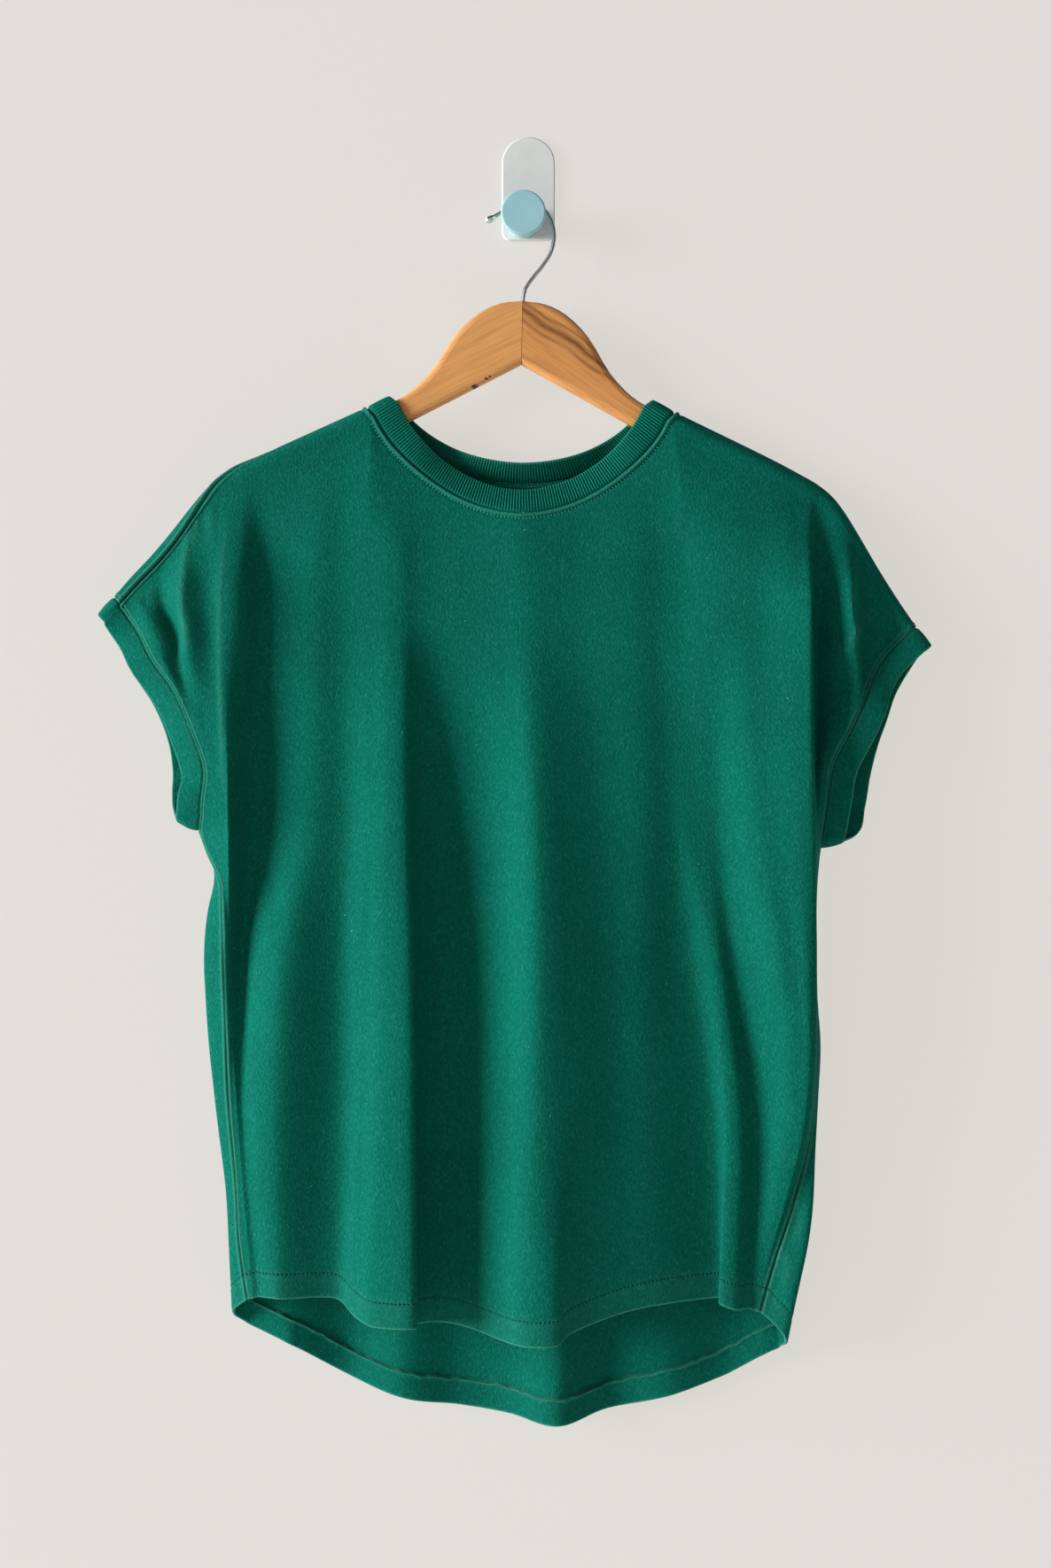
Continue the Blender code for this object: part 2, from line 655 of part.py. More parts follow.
def make_cuff(name, front, back, column, side, angles):
    """Follows a sleeve's opening down the front, then up the back."""
    last = len(UPPER_ROWS) - 1
    up = range(last - 1, 0, -1)
    seam = np.concatenate([front.grid[:last + 1, column], back.grid[list(up), column]])
    shares = np.array(UPPER_ROWS + tuple(UPPER_ROWS[j] for j in up))
    turn = np.radians(through([row.share for row in CUFF_ANGLES], angles, shares))
    facing = np.array([1.0] * (last + 1) + [-1.0] * len(up))
    spread = facing * CUFF_SPREAD * np.sin(math.pi * shares)
    step = np.stack([side * np.cos(turn), -spread / CUFF_WIDTH, -np.sin(turn)], axis=1)
    return band_cloth(name, seam, seam + step * CUFF_WIDTH, CUFF_SWELL, CUFF_WALL, -side)


def seam_key(point):
    return tuple(int(round(value * 100)) for value in point)


def share_seam_normals(cloths):
    """Pieces that meet at a seam point take one normal there, so their edges match."""
    totals = {}
    for cloth in cloths:
        for place in cloth.seams:
            key = seam_key(cloth.grid[place])
            totals[key] = totals.get(key, 0) + cloth.normals[place]
    for cloth in cloths:
        for place in cloth.seams:
            shared = unit(totals[seam_key(cloth.grid[place])])
            cloth.walls[place] /= max(float(cloth.normals[place] @ shared), WALL_STRETCH)
            cloth.normals[place] = shared


def crowded_places(cloth):
    """Where a cell's inner side is much smaller than its outer side, or turned over."""
    inner = cloth.grid - cloth.normals * cloth.walls[..., None]
    rows, columns = cloth.grid.shape[:2]
    across = columns if cloth.closed else columns - 1
    result = np.zeros((rows, columns), bool)
    corners = ((0, 0), (0, 1), (1, 1), (1, 0))
    for n in range(4):
        areas = []
        for side in (cloth.grid, inner):
            here, after, before = [np.roll(side, (-corners[m % 4][0], -corners[m % 4][1]), axis=(0, 1))
                                   for m in (n, n + 1, n - 1)]
            areas.append(np.cross(after - here, before - here)[:rows - 1, :across])
        outer, inner_area = areas
        close = np.sum(outer * inner_area, axis=2) < CROWDED * np.sum(outer ** 2, axis=2)
        for down_step, side_step in corners:
            rolled = np.zeros((rows, columns), bool)
            rolled[:rows - 1, :across] = close
            result |= np.roll(rolled, (down_step, side_step), axis=(0, 1))
    return result


def settle_normals(cloth):
    """Turn the normals in tight folds together, so that the inner side can't cross itself."""
    fixed = np.zeros(cloth.grid.shape[:2], bool)
    for place in cloth.seams:
        fixed[place] = True
    for _ in range(SETTLE_ROUNDS):
        crowded = crowded_places(cloth) & ~fixed
        if not crowded.any():
            break
        padded = np.pad(cloth.normals, ((1, 1), (0, 0), (0, 0)), mode="edge")
        sides = np.roll(cloth.normals, 1, axis=1) + np.roll(cloth.normals, -1, axis=1)
        settled = unit(padded[:-2] + padded[2:] + sides + cloth.normals)
        cloth.normals[crowded] = settled[crowded]


def seam_insets(cloth):
    """Steps that bring a piece back from its seams by half the seam gap."""
    grid = cloth.grid
    rows, columns = grid.shape[:2]
    steps = np.zeros_like(grid)
    size = SEAM_GAP / 2 + (BAND_CLEARANCE if cloth.closed else 0)

    def step_back(place, inner, along):
        """A step toward inner, square to the seam and to the normal."""
        way = inner - grid[place]
        for axis in (unit(along), cloth.normals[place]):
            way = way - (way @ axis) * axis
        steps[place] += unit(way) * size

    for j, i in cloth.seams:
        before, after = i - 1, (i + 1) % columns
        if not cloth.closed:
            before, after = max(i - 1, 0), min(i + 1, columns - 1)
        if j == 0:
            step_back((j, i), grid[1, i], grid[j, after] - grid[j, before])
        if not cloth.closed and i in (0, columns - 1):
            above, below = max(j - 1, 0), min(j + 1, rows - 1)
            inside = 1 if i == 0 else columns - 2
            step_back((j, i), grid[j, inside], grid[below, i] - grid[above, i])
    return steps


def add_cloth(cloth, material):
    """A closed wall of cloth: its outer side, its inner side and the rim between them."""
    outer = cloth.grid + seam_insets(cloth)
    inner = outer - cloth.normals * cloth.walls[..., None]
    rows, columns = outer.shape[:2]
    points = np.concatenate([outer.reshape(-1, 3), inner.reshape(-1, 3)])
    across = columns if cloth.closed else columns - 1

    def at(j, i, side):
        return side * rows * columns + j * columns + i % columns
    faces = []
    for j in range(rows - 1):
        for i in range(across):
            k = (i + 1) % columns
            falling = np.linalg.norm(outer[j, i] - outer[j + 1, k])
            rising = np.linalg.norm(outer[j + 1, i] - outer[j, k])
            for side in (0, 1):
                a, b, c, d = at(j, i, side), at(j + 1, i, side), at(j + 1, k, side), at(j, k, side)
                cell = [(a, b, c), (a, c, d)] if falling < rising else [(a, b, d), (b, c, d)]
                faces += [face[::-1] for face in cell] if side else cell
    ends = []
    for i in range(across):
        ends += [((0, i), (0, i + 1)), ((rows - 1, i + 1), (rows - 1, i))]
    if not cloth.closed:
        for j in range(rows - 1):
            ends += [((j + 1, 0), (j, 0)), ((j, columns - 1), (j + 1, columns - 1))]
    for first, second in ends:
        a, b, c, d = at(*first, 0), at(*second, 0), at(*second, 1), at(*first, 1)
        keys = [seam_key(cloth.grid[j, i % columns]) for j, i in (first, second)]
        # The same diagonal on both sides of a seam keeps the two ends parallel
        faces += [(a, b, c), (a, c, d)] if keys[0] < keys[1] else [(a, b, d), (b, c, d)]
    return add_mesh(cloth.name, points, faces, material)


def make_panels():
    """Front and back, and the columns between which each follows the neckline."""
    front = front_lines()
    back = back_lines()
    start = 1 + len(LEFT_SLEEVE) + len(FRONT_LEFT)
    front_neck = (start, start + len(FRONT_NECK))
    start = 2 + len(BACK_LEFT)
    back_neck = (start, start + len(BACK_NECK))
    corners = [NECK_CENTRE - NECKLINE.reach, NECK_CENTRE + NECKLINE.reach]
    left_tops = [line.top for line in front[:front_neck[0]]]
    right_tops = [line.top for line in front[front_neck[1] + 1:]]
    left_tops = spread(left_tops + [corners[0]], SHOULDER_STEP)[:-1]
    right_tops = spread([corners[1]] + right_tops, SHOULDER_STEP)[1:]
    front_angles = spread([fold.top for fold in FRONT_NECK] + [180], FRONT_NECK_STEP)
    back_angles = spread([fold.top for fold in BACK_NECK] + [180], BACK_NECK_STEP)
    panels = []
    spans = []
    for name, lines, neck, angles, facing in (("front", front, front_neck, front_angles, 1),
                                              ("back", back, back_neck, back_angles, -1)):
        columns = columns_of(lines, neck, left_tops, right_tops, angles, facing)
        panels.append(panel_cloth(name, panel_grid(lines, columns, facing), facing))
        spans.append((len(left_tops), len(left_tops) + len(angles) - 1))
    return panels, spans, (front_angles, back_angles)


def make_cloth(materials):
    (front, back), spans, angles = make_panels()
    left_angles = [row.left for row in CUFF_ANGLES]
    right_angles = [row.right for row in CUFF_ANGLES]
    cloths = [
        front,
        back,
        make_neckband(front, back, spans, angles),
        make_cuff("cuff_left", front, back, 0, -1, left_angles),
        make_cuff("cuff_right", front, back, -1, 1, right_angles),
    ]
    share_seam_normals(cloths)
    for cloth in cloths:
        settle_normals(cloth)
        add_cloth(cloth, materials["rib" if cloth.name == "neckband" else "jersey"])


# What the shirt hangs from

def add_loft(name, rings, material, smooth_angle=50):
    """A closed body through rings of equal length, capped at both ends."""
    count = len(rings[0])
    points = np.concatenate(rings)
    faces = [tuple(range(count)), tuple(range(len(points) - 1, len(points) - count - 1, -1))]
    for k in range(len(rings) - 1):
        for i in range(count):
            a, b = k * count + i, k * count + (i + 1) % count
            faces.append((b, a, a + count, b + count))
    return add_mesh(name, points, faces, material, smooth_angle)


def inset(outline, amount, kept=()):
    """A closed outline moved inward; the kept corners only slide up or down."""
    edges = np.roll(outline, -1, axis=0) - outline
    area = np.sum(outline[:, 0] * np.roll(outline[:, 1], -1) - np.roll(outline[:, 0], -1) * outline[:, 1])
    normals = unit(np.stack([-edges[:, 1], edges[:, 0]], axis=1)) * math.copysign(1, area)
    result = outline.copy()
    for i in range(len(outline)):
        before, after = normals[i - 1], normals[i]
        if i in kept:
            own = after if i == kept[0] else before
            result[i, 1] += amount / own[1]
        else:
            result[i] += amount * (before + after) / (1 + before @ after)
    return result


def arc(centre, radius, start, end, count):
    angles = np.radians(np.linspace(start, end, count))
    return np.stack([centre[0] + radius * np.cos(angles), centre[1] + radius * np.sin(angles)], axis=1)


def on_hanger(x, depth, z):
    """World place of a point given from the middle of the hanger's top edge."""
    cosine, sine = math.cos(HANGER_TILT), math.sin(HANGER_TILT)
    return np.array([HANGER_TOP[0] + x * cosine + z * sine, -depth, HANGER_TOP[1] - x * sine + z * cosine])


def hanger_outline():
    """The left half: out along its top, round the arm's end and back to the notch."""
    xs, zs = zip(*CROWN_TOP)
    out = np.linspace(0, xs[-1], CROWN_POINTS)
    out[0] = MITRE_GAP / 2
    top = np.stack([-out, through(xs, zs, out)], axis=1)
    slope = math.atan(ARM_SLOPE)
    corner = np.array([-ARM_END, zs[-1] - ARM_SLOPE * (ARM_END - xs[-1])])
    along = np.array([math.cos(slope), math.sin(slope)])
    inward = np.array([along[1], -along[0]])
    centre = corner + (along + inward) * ARM_END_RADIUS
    high = math.degrees(slope) + 90
    low = centre + (ARM_HEIGHT * math.cos(slope) - 2 * ARM_END_RADIUS) * inward
    end = np.concatenate([arc(centre, ARM_END_RADIUS, high, high + 90, 6),
                          arc(low, ARM_END_RADIUS, high + 90, high + 180, 6)])
    notch = np.array([(-NOTCH[1][0], NOTCH[1][1]), (-MITRE_GAP / 2, NOTCH[0][1])])
    return np.concatenate([top, end, notch])


def add_hanger(materials):
    outline = hanger_outline()
    kept = (0, len(outline) - 1)
    half = HANGER_THICKNESS / 2
    layers = [(HANGER_EDGE * (1 - math.sin(angle)), half - HANGER_EDGE * (1 - math.cos(angle)))
              for angle in np.radians((0, 30, 60, 90))]
    layers = [(amount, -rise) for amount, rise in layers] + [(amount, rise) for amount, rise in layers[::-1]]
    bore = []
    for z in (-WIRE_BORE_DEPTH, 6):
        ring = arc((0, WIRE_DEPTH), WIRE_BORE / 2, 0, 330, 12)
        bore.append(np.array([on_hanger(x, depth, z) for x, depth in ring]))
    cutter = add_loft("wire_bore", bore, materials["steel"])
    cutter.hide_render = True
    cutter.display_type = "WIRE"
    for side, mirror in (("left", 1), ("right", -1)):
        rings = []
        for amount, rise in layers:
            shape = inset(outline, amount, kept)
            rings.append(np.array([on_hanger(mirror * x, ROLL_DEPTH + rise, z) for x, z in shape]))
        body = add_loft("hanger_" + side, rings, materials["wood_" + side], 35)
        bored = body.modifiers.new("bore", "BOOLEAN")
        bored.operation = "DIFFERENCE"
        bored.solver = "EXACT"
        bored.object = cutter


def add_wire(materials):
    """A round wire through its route, with a bulb at its tip."""
    route = np.array(WIRE_ROUTE, float)
    lengths = np.concatenate([[0], np.cumsum(np.linalg.norm(np.diff(route, axis=0), axis=1))])
    at = np.linspace(0, lengths[-1], WIRE_POINTS)
    bulb = lengths[-1] - BULB_LENGTH * np.array([0.75, 0.5, 0.25, 0.08])
    at = np.sort(np.concatenate([at[at < bulb[0] - 1], bulb, at[-1:]]))
    path = np.stack([through(lengths, route[:, 0], at), through(lengths, route[:, 1], at)], axis=1)
    aims = unit(np.gradient(path, axis=0))
    rings = []
    for (x, z), (aim_x, aim_z), place in zip(path, aims, at):
        share = (lengths[-1] - place) / BULB_LENGTH
        radius = WIRE_DIAMETER / 2
        if share < 1:
            radius *= 0.55 + 0.45 * min(share * 4, 1) + BULB_SWELL * math.sin(math.pi * share)
        turns = np.radians(np.arange(WIRE_SIDES) * 360 / WIRE_SIDES)
        level = radius * np.cos(turns)
        depth = WIRE_DEPTH - radius * np.sin(turns)
        rings.append(np.stack([x - aim_z * level, -depth, z + aim_x * level], axis=1))
    add_loft("hanger_hook", rings, materials["steel"])


def add_wall_plate(materials):
    half = PLATE_WIDTH / 2
    side = PLATE_HEIGHT / 2
    outline = np.concatenate([
        arc((0, side - half), half, 0, 180, 17),
        arc((PLATE_CORNER - half, PLATE_CORNER - side), PLATE_CORNER, 180, 270, 6),
        arc((half - PLATE_CORNER, PLATE_CORNER - side), PLATE_CORNER, 270, 360, 6),
    ])
    rings = []
    for amount, depth in ((0, 0), (0, PLATE_THICKNESS - PLATE_EDGE), (PLATE_EDGE, PLATE_THICKNESS)):
        rings.append(np.array([(x, -depth, z) for x, z in inset(outline, amount)]))
    add_loft("wall_plate", rings, materials["plate"], 35)


def add_peg(materials):
    shaft = PEG_SHAFT_DIAMETER / 2
    disc = PEG_DISC_DIAMETER / 2
    rounding = PEG_EDGE * 0.3
    profile = ((shaft, PLATE_THICKNESS + FACE_GAP), (shaft, PEG_SHAFT_END), (disc - 0.8, PEG_SHAFT_END),
               (disc, PEG_SHAFT_END + 0.8), (disc, PEG_END - PEG_EDGE), (disc - rounding, PEG_END - rounding),
               (disc - PEG_EDGE, PEG_END))
    rings = []
    for radius, depth in profile:
        circle = arc(PEG_PLACE, radius, 0, 360 - 360 / PEG_SIDES, PEG_SIDES)
        rings.append(np.array([(x, -depth, z) for x, z in circle]))
    add_loft("peg", rings, materials["peg"], 35)


def main():
    clear_scene()
    materials = {
        "jersey": make_material("green_jersey", (0.011, 0.135, 0.098), 0.9),
        "rib": make_material("green_rib", (0.008, 0.110, 0.080), 0.9),
        "wood_left": make_material("light_wood", (0.64, 0.30, 0.10), 0.55),
        "wood_right": make_material("dark_wood", (0.58, 0.25, 0.075), 0.55),
        "steel": make_material("steel", (0.62, 0.61, 0.60), 0.3, 1.0),
        "plate": make_material("white_plate", (0.70, 0.71, 0.69), 0.4),
        "peg": make_material("blue_peg", (0.29, 0.52, 0.57), 0.5),
    }
    make_cloth(materials)
    add_hanger(materials)
    add_wire(materials)
    add_wall_plate(materials)
    add_peg(materials)


main()
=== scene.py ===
"""Looks of a T-shirt on a wooden hanger and wall hook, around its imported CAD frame.

Lengths are in millimetres, and MM turns them into metres where a mesh is made.
X points right and Z up, as seen from the room, and Y points into the wall.
A depth is a distance out from the wall, so y = -depth.

The cloth repeats the CAD's own surface on a finer grid. Seams, stitches, ribs,
creases, faded edges and lint are then placed on it by distances along the cloth.
"""
import math
from collections import namedtuple

import bpy
import numpy as np
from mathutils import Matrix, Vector


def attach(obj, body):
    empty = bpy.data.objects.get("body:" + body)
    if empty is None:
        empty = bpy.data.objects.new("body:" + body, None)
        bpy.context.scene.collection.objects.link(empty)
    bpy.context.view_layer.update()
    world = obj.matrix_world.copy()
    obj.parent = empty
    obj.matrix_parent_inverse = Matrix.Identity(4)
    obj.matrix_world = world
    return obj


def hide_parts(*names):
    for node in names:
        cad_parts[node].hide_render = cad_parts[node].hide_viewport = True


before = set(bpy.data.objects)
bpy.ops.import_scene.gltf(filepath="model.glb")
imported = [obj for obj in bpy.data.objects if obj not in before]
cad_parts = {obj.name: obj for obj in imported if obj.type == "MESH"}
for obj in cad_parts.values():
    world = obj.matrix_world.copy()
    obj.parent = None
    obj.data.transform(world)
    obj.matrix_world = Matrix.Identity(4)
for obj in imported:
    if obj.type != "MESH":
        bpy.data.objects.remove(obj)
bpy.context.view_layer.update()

MM = 0.001
# The shoulder line: where the cloth turns over the hanger, then over the sleeves
SHOULDER_LINE = (
    (-292, -293), (-279, -278.5), (-262, -261), (-247, -243), (-234, -225.5), (-223, -212.5),
    (-211, -203.5), (-190, -193.8), (-113, -158.8), (-4, -109), (103, -162.4), (190, -205.8),
    (204, -213.5), (214, -221.5), (222, -232), (231, -247), (244, -269.5), (258, -292), (276, -319),
)
SHOULDER_CENTRE = -4.0
ROLL_RADIUS = 8.5
SLEEVE_ROLL_RADIUS = 6.5
ROLL_DEPTH = 20.0
SLEEVE_FORWARD = 3.0

# Where the shoulder seam lies, as a run over the roll: positive is on the front
SEAM_RUN = {"left": 12.0, "right": -8.0}
SEAM_DRIFT_START = 160.0
SEAM_DRIFT_END = 255.0

# The neckline and the neckband's free edge are flattened ellipses on the rolled-out cloth:
# how far each reaches sideways and, below a straight line, at the middle of front and back
NECK_CENTRE = -5.2
Neck = namedtuple("Neck", "reach front back")
NECKLINE = Neck(108.0, 78.0, 53.5)
NECK_EDGE = Neck(92.2, 70.1, 50.0)
NECK_POWER = {1: 2 / 1.72, -1: 2 / 1.8}
# How far the band's edge leans into the opening, where it is clear of the hanger
NECKBAND_LEAN = {1: 4.5, -1: 11.0}
LEAN_FROM = -188.0
LEAN_DROP = 22.0

# Where the hanger ends, and how fast the folds grow below the shoulder line
PAST_HANGER_FROM = 205.0
PAST_HANGER_LENGTH = 50.0
FOLD_START = 6.0
FOLD_START_SHARE = 0.55
CHEST_GROWTH = 90.0
SLEEVE_GROWTH = 32.0
DRIFT_LENGTH = 60.0

# Heights of the sections through the folds
LEVELS = (-309, -463, -543, -647, -785)
SLEEVE_LEVELS = (-272, -315, -365, -414, -460)
UNDERARM = {"left": -456, "right": -468}

# Each fold line: where it starts, its x and depth at each of LEVELS, and the hem's height.
# It starts at an x on the shoulder line, or at an angle round the neckline.
Fold = namedtuple("Fold", "name top chest underarm midriff waist hip hem")

FRONT_LEFT = (
    Fold("edge_left", -221, (-209, 44.5), (-207, 44), (-208, 34), (-203, 34), (-191, 36), -781),
    Fold("tuck_left", -212, (-199, 43), (-202, 33), (-204, 28), (-200, 33), (-188, 36), -780),
    Fold("valley_left", -194, (-187, 31), (-193, 24), (-200, 25), (-197, 34), (-185, 37), -780),
    Fold("slope_left", -175, (-172, 32), (-181, 28), (-191, 33), (-188, 41), (-180, 40), -780),
    Fold("ridge_0", -153, (-148, 35), (-155, 38.5), (-170, 45.5), (-172, 46), (-172, 43), -780),
    Fold("valley_1", -132, (-130, 34), (-126, 37), (-131, 37), (-132, 36.5), (-134, 35), -781),
)
FRONT_NECK = (
    Fold("slope_1", 0, (-111, 36), (-111, 45), (-114, 46), (-115, 47), (-121, 46), -791),
    Fold("crest_1", 25, (-96, 37.5), (-97, 52), (-99, 55), (-101, 57), (-107, 57), -796),
    Fold("edge_1", 38, (-86, 37), (-82, 52), (-79, 57), (-77, 60), (-76, 62), -796),
    Fold("tuck_1", 46, (-78, 35.5), (-77, 40), (-78, 41), (-79, 40), (-80, 42), -798),
    Fold("valley_2", 55, (-67, 34.5), (-60, 28), (-60, 27), (-60, 27), (-62, 28), -799),
    Fold("rise_2", 67, (-44, 35), (-37, 32), (-35, 32), (-37, 33), (-42, 33), -802),
    Fold("slope_2", 79, (-17, 37), (-13, 46), (-13, 48), (-15, 49), (-21, 50), -806),
    Fold("crest_2", 87, (-4, 38.5), (2, 56), (3, 60), (2, 62), (-3, 64), -808),
    Fold("edge_2", 95, (7, 38.5), (14, 55), (17, 59), (18, 61), (21, 64.5), -807),
    Fold("tuck_2", 102, (17, 37.8), (27, 50.5), (31, 54), (33, 56), (26, 57), -802),
    Fold("valley_3", 115, (35, 36.8), (51, 43.5), (57, 45), (60, 46), (60, 48), -790),
    Fold("ridge_3", 139, (74, 37), (80, 41.5), (80, 42), (82, 42), (92, 41.5), -784),
    Fold("valley_4", 155, (92, 35.8), (101, 36.5), (112, 33.5), (128, 30.5), (134.5, 30), -782),
)
FRONT_RIGHT = (
    Fold("ridge_4", 103, (106, 36.5), (112, 37), (127, 39.5), (136, 42), (131.5, 43.5), -783),
    Fold("plateau_4", 121, (118, 39), (123, 37), (133, 39.5), (146, 43), (143, 45), -787),
    Fold("valley_5", 137, (132, 41.5), (135, 37.5), (143, 35.5), (159, 35.5), (152, 37.5), -788),
    Fold("crest_5", 150, (147, 43), (156, 50), (172, 53), (178, 47.5), (154, 36.5), -788),
    Fold("slope_6", 166, (163, 44.5), (170, 53), (183, 55), (186, 50), (156, 37), -789),
    Fold("crest_6", 192, (186, 50), (187, 56.5), (192, 56.5), (192, 50.5), (157.5, 37.5), -789),
    Fold("edge_right", 205, (196.5, 51.5), (197, 56), (198, 54), (195.5, 47), (159, 38), -790),
)
BACK_LEFT = (
    Fold("back_corner_left", -238, (-243, 12), (-218, 12), (-216, 12), (-210, 12), (-199, 13), -803),
    Fold("back_valley_1", -203, (-186, 13), (-181, 16), (-179, 18), (-176, 18), (-168, 17), -817),
    Fold("back_ridge_1", -158, (-142, 10), (-138, 7), (-137, 6), (-135, 6), (-130, 6), -840),
)
BACK_NECK = (
    Fold("back_valley_2", 0, (-100, 12), (-98, 15), (-95, 16), (-92, 17), (-88, 17), -855),
    Fold("back_ridge_2", 48, (-56, 10), (-54, 8), (-52, 7), (-51, 6), (-49, 7), -862),
    Fold("back_valley_3", 80, (-18, 12), (-16, 12), (-15, 12), (-14, 12), (-12, 12), -867),
    Fold("back_fold", 98, (14, 12), (16, 15), (18, 18), (19, 23), (20, 28), -872),
    Fold("back_ridge_3", 124, (46, 10), (48, 8), (50, 7), (52, 7), (54, 8), -865),
)
BACK_RIGHT = (
    Fold("back_valley_4", 103, (92, 12), (95, 14), (97, 15), (99, 15), (99, 15), -854),
    Fold("back_ridge_4", 155, (138, 10), (140, 7), (141, 6), (141, 6), (140, 7), -841),
    Fold("back_valley_5", 205, (186, 13), (174, 15), (173, 16), (174, 16), (167, 13.5), -825),
    Fold("back_corner_right", 235, (226, 12), (196, 12), (194, 12), (193, 12.5), (178.5, 15.5), -819),
)

# Folds between a cuff and the fold line that hangs from the hanger's end: their share of
# the way from one line to another, and their rise above a straight run, at SLEEVE_LEVELS
SleeveFold = namedtuple("SleeveFold", "name share rise")
LEAST_TOP_SHARE = 0.04

LEFT_SLEEVE = (
    SleeveFold("cuff_ridge_left", (0.22, 0.22, 0.10, 0.15, 0.25), (1, 3.5, 1, 0, 0)),
    SleeveFold("cuff_valley_left", (0.42, 0.37, 0.24, 0.36, 0.50), (-3.5, -6, 0.5, 0, 0)),
    SleeveFold("sleeve_ridge_left", (0.60, 0.55, 0.44, 0.60, 0.70), (4, 5, 0.5, 0, 0)),
    SleeveFold("sleeve_dip_left", (0.78, 0.77, 0.74, 0.82, 0.86), (-1.5, -1.5, 0, 0, 0)),
)
RIGHT_SLEEVE = (
    SleeveFold("tuck_right", (-0.02, -0.03, -0.03, 0.00, 0.10), (-8, -16, -18, -10, 0)),
    SleeveFold("valley_right", (0.06, 0.06, 0.10, 0.15, 0.20), (-17, -27, -28, -17, 0)),
    SleeveFold("slope_right", (0.20, 0.22, 0.42, 0.43, 0.42), (-9, -12, -13, -8, 0)),
    SleeveFold("crest_right", (0.40, 0.42, 0.90, 0.78, 0.68), (5, 7, 2, -2, 0)),
    SleeveFold("tuck_sleeve_right", (0.45, 0.47, 0.94, 0.87, 0.80), (-4, -7, 0, -1, 0)),
    SleeveFold("valley_sleeve_right", (0.57, 0.60, 0.97, 0.93, 0.90), (-8, -9, 0, 0, 0)),
)

# Sections down each side, from the top of the cuff seam to the underarm, then to the hem.
# A cuff seam's row is a height, then x and depth of the front and of the back.
# The row of a side seam, or of the turn behind it, is a height, x and depth.
CUFF_TOP = {"left": -291, "right": 272}
CUFF_SEAM = {
    "left": (
        (-298, -282, 31, -283, 16), (-320, -268, 35, -272, 15), (-335, -262, 37, -265, 14),
        (-360, -246, 38, -249, 14), (-388, -234, 38, -238, 14), (-413, -226, 38, -234, 14),
        (-435, -228, 37, -234, 15), (-446, -229, 34, -233, 18), (-453, -230.5, 30, -232, 22),
        (-456, -231, 26, -231, 26),
    ),
    "right": (
        (-316, 271, 24, 273, 16), (-333, 252, 27, 261, 14), (-347, 242, 30, 251, 14),
        (-363, 235, 36, 242, 14), (-384, 225, 38, 233, 14), (-408, 213, 36, 226, 14),
        (-435, 208, 35, 221, 14), (-455, 205, 32, 216, 16), (-464, 204, 28.5, 209, 19.5),
        (-468, 204, 24, 204, 24),
    ),
}
SIDE_SEAM = {
    "left": (
        (-456, -231, 26), (-471, -224, 33), (-489, -215, 37), (-512, -213, 38), (-543, -212, 37),
        (-577, -211, 36), (-643, -209, 33), (-704, -204, 32), (-742, -202, 32), (-782, -196, 33),
    ),
    "right": (
        (-468, 204, 24), (-489, 202.5, 22), (-544, 202, 21), (-614, 201.5, 28), (-643, 199, 33),
        (-677, 193, 40), (-712, 184, 41), (-764, 168, 38.5), (-790, 161, 37.5),
    ),
}
TURN = {
    "left": (
        (-298, -270, 13), (-335, -252, 12), (-375, -233, 12), (-413, -225, 13), (-456, -226, 18),
        (-489, -220, 24), (-512, -225, 25), (-577, -226, 25), (-643, -220, 23), (-704, -213, 22),
        (-794, -208, 22),
    ),
    "right": (
        (-316, 262, 12), (-347, 240, 12), (-384, 220, 12), (-435, 205, 13), (-466, 203, 17),
        (-544, 200, 14), (-614, 205, 20), (-643, 203, 24), (-677, 200, 36), (-742, 193.5, 44),
        (-767, 188, 44), (-814, 178, 40),
    ),
}
SEAM_HEM = {"left": -782, "right": -790}
TURN_TOP = {"left": -262, "right": 256}
TURN_HEM = {"left": -794, "right": -809}

# Which way each cuff points, in degrees below level, at shares of the way down its seam,
# and how far its edge spreads out on the front and on the back
CUFF_SHARES = (0, 0.15, 0.40, 0.60, 0.80, 0.92, 1)
CUFF_ANGLES = {"left": (54, 36, 28, 26, 6, -6, -25), "right": (48, 54, 34, 22, 12, 6, -12)}
CUFF_FRONT_SPREAD = {"left": -9.0, "right": 1.5}
CUFF_BACK_SPREAD = 1.5

# Walls of the visible cloth, single and turned or doubled, and the widths of hem and cuffs
PANEL_WALL = 1.1
TURNED_WALL = 2.2
BAND_WALL = 2.0
CUFF_WALL = 2.2
THINNEST = 0.3
HEM_TURN = 17.5
CUFF_WIDTH = 17.0

# The fine grid: rows in mm below the top, then as shares of the run to the underarm and the
# hem, then in mm past the line where the hem turns
TOP_ROWS = (0, 0.45, 0.9, 1.4, 1.9, 2.5, 3.1, 3.7, 4.3, 4.9, 5.6, 6.6, 8, 10, 12.5, 15.5,
            19, 23, 28, 33)
TOP_END = 38.0
UPPER_SHARES = np.linspace(0, 1, 70)
UPPER_ROWS = len(TOP_ROWS) + len(UPPER_SHARES)
LOWER_SHARES = np.linspace(0, 1, 61)[1:]
HEM_ROWS = (-6, -4.5, -3.3, -2.4, -1.6, -0.8, 0, 0.8, 1.6, 2.8, 5, 8, 11, 13.5, 15.4, 16.4,
            17, 17.3, 17.5)
SHOULDER_STEP = 2.4
EDGE_STEPS = (0, 0.6, 1.2, 1.8, 2.4, 3.0, 3.7, 4.5, 5.5, 6.8, 8.4)
NEAR_ROWS = 24
NEAR_COLUMNS = 60
FAR = 1e3
SHARP_ANGLE = 60
NECK_STEP = 1.85
SOFTEN_ROUNDS = 2
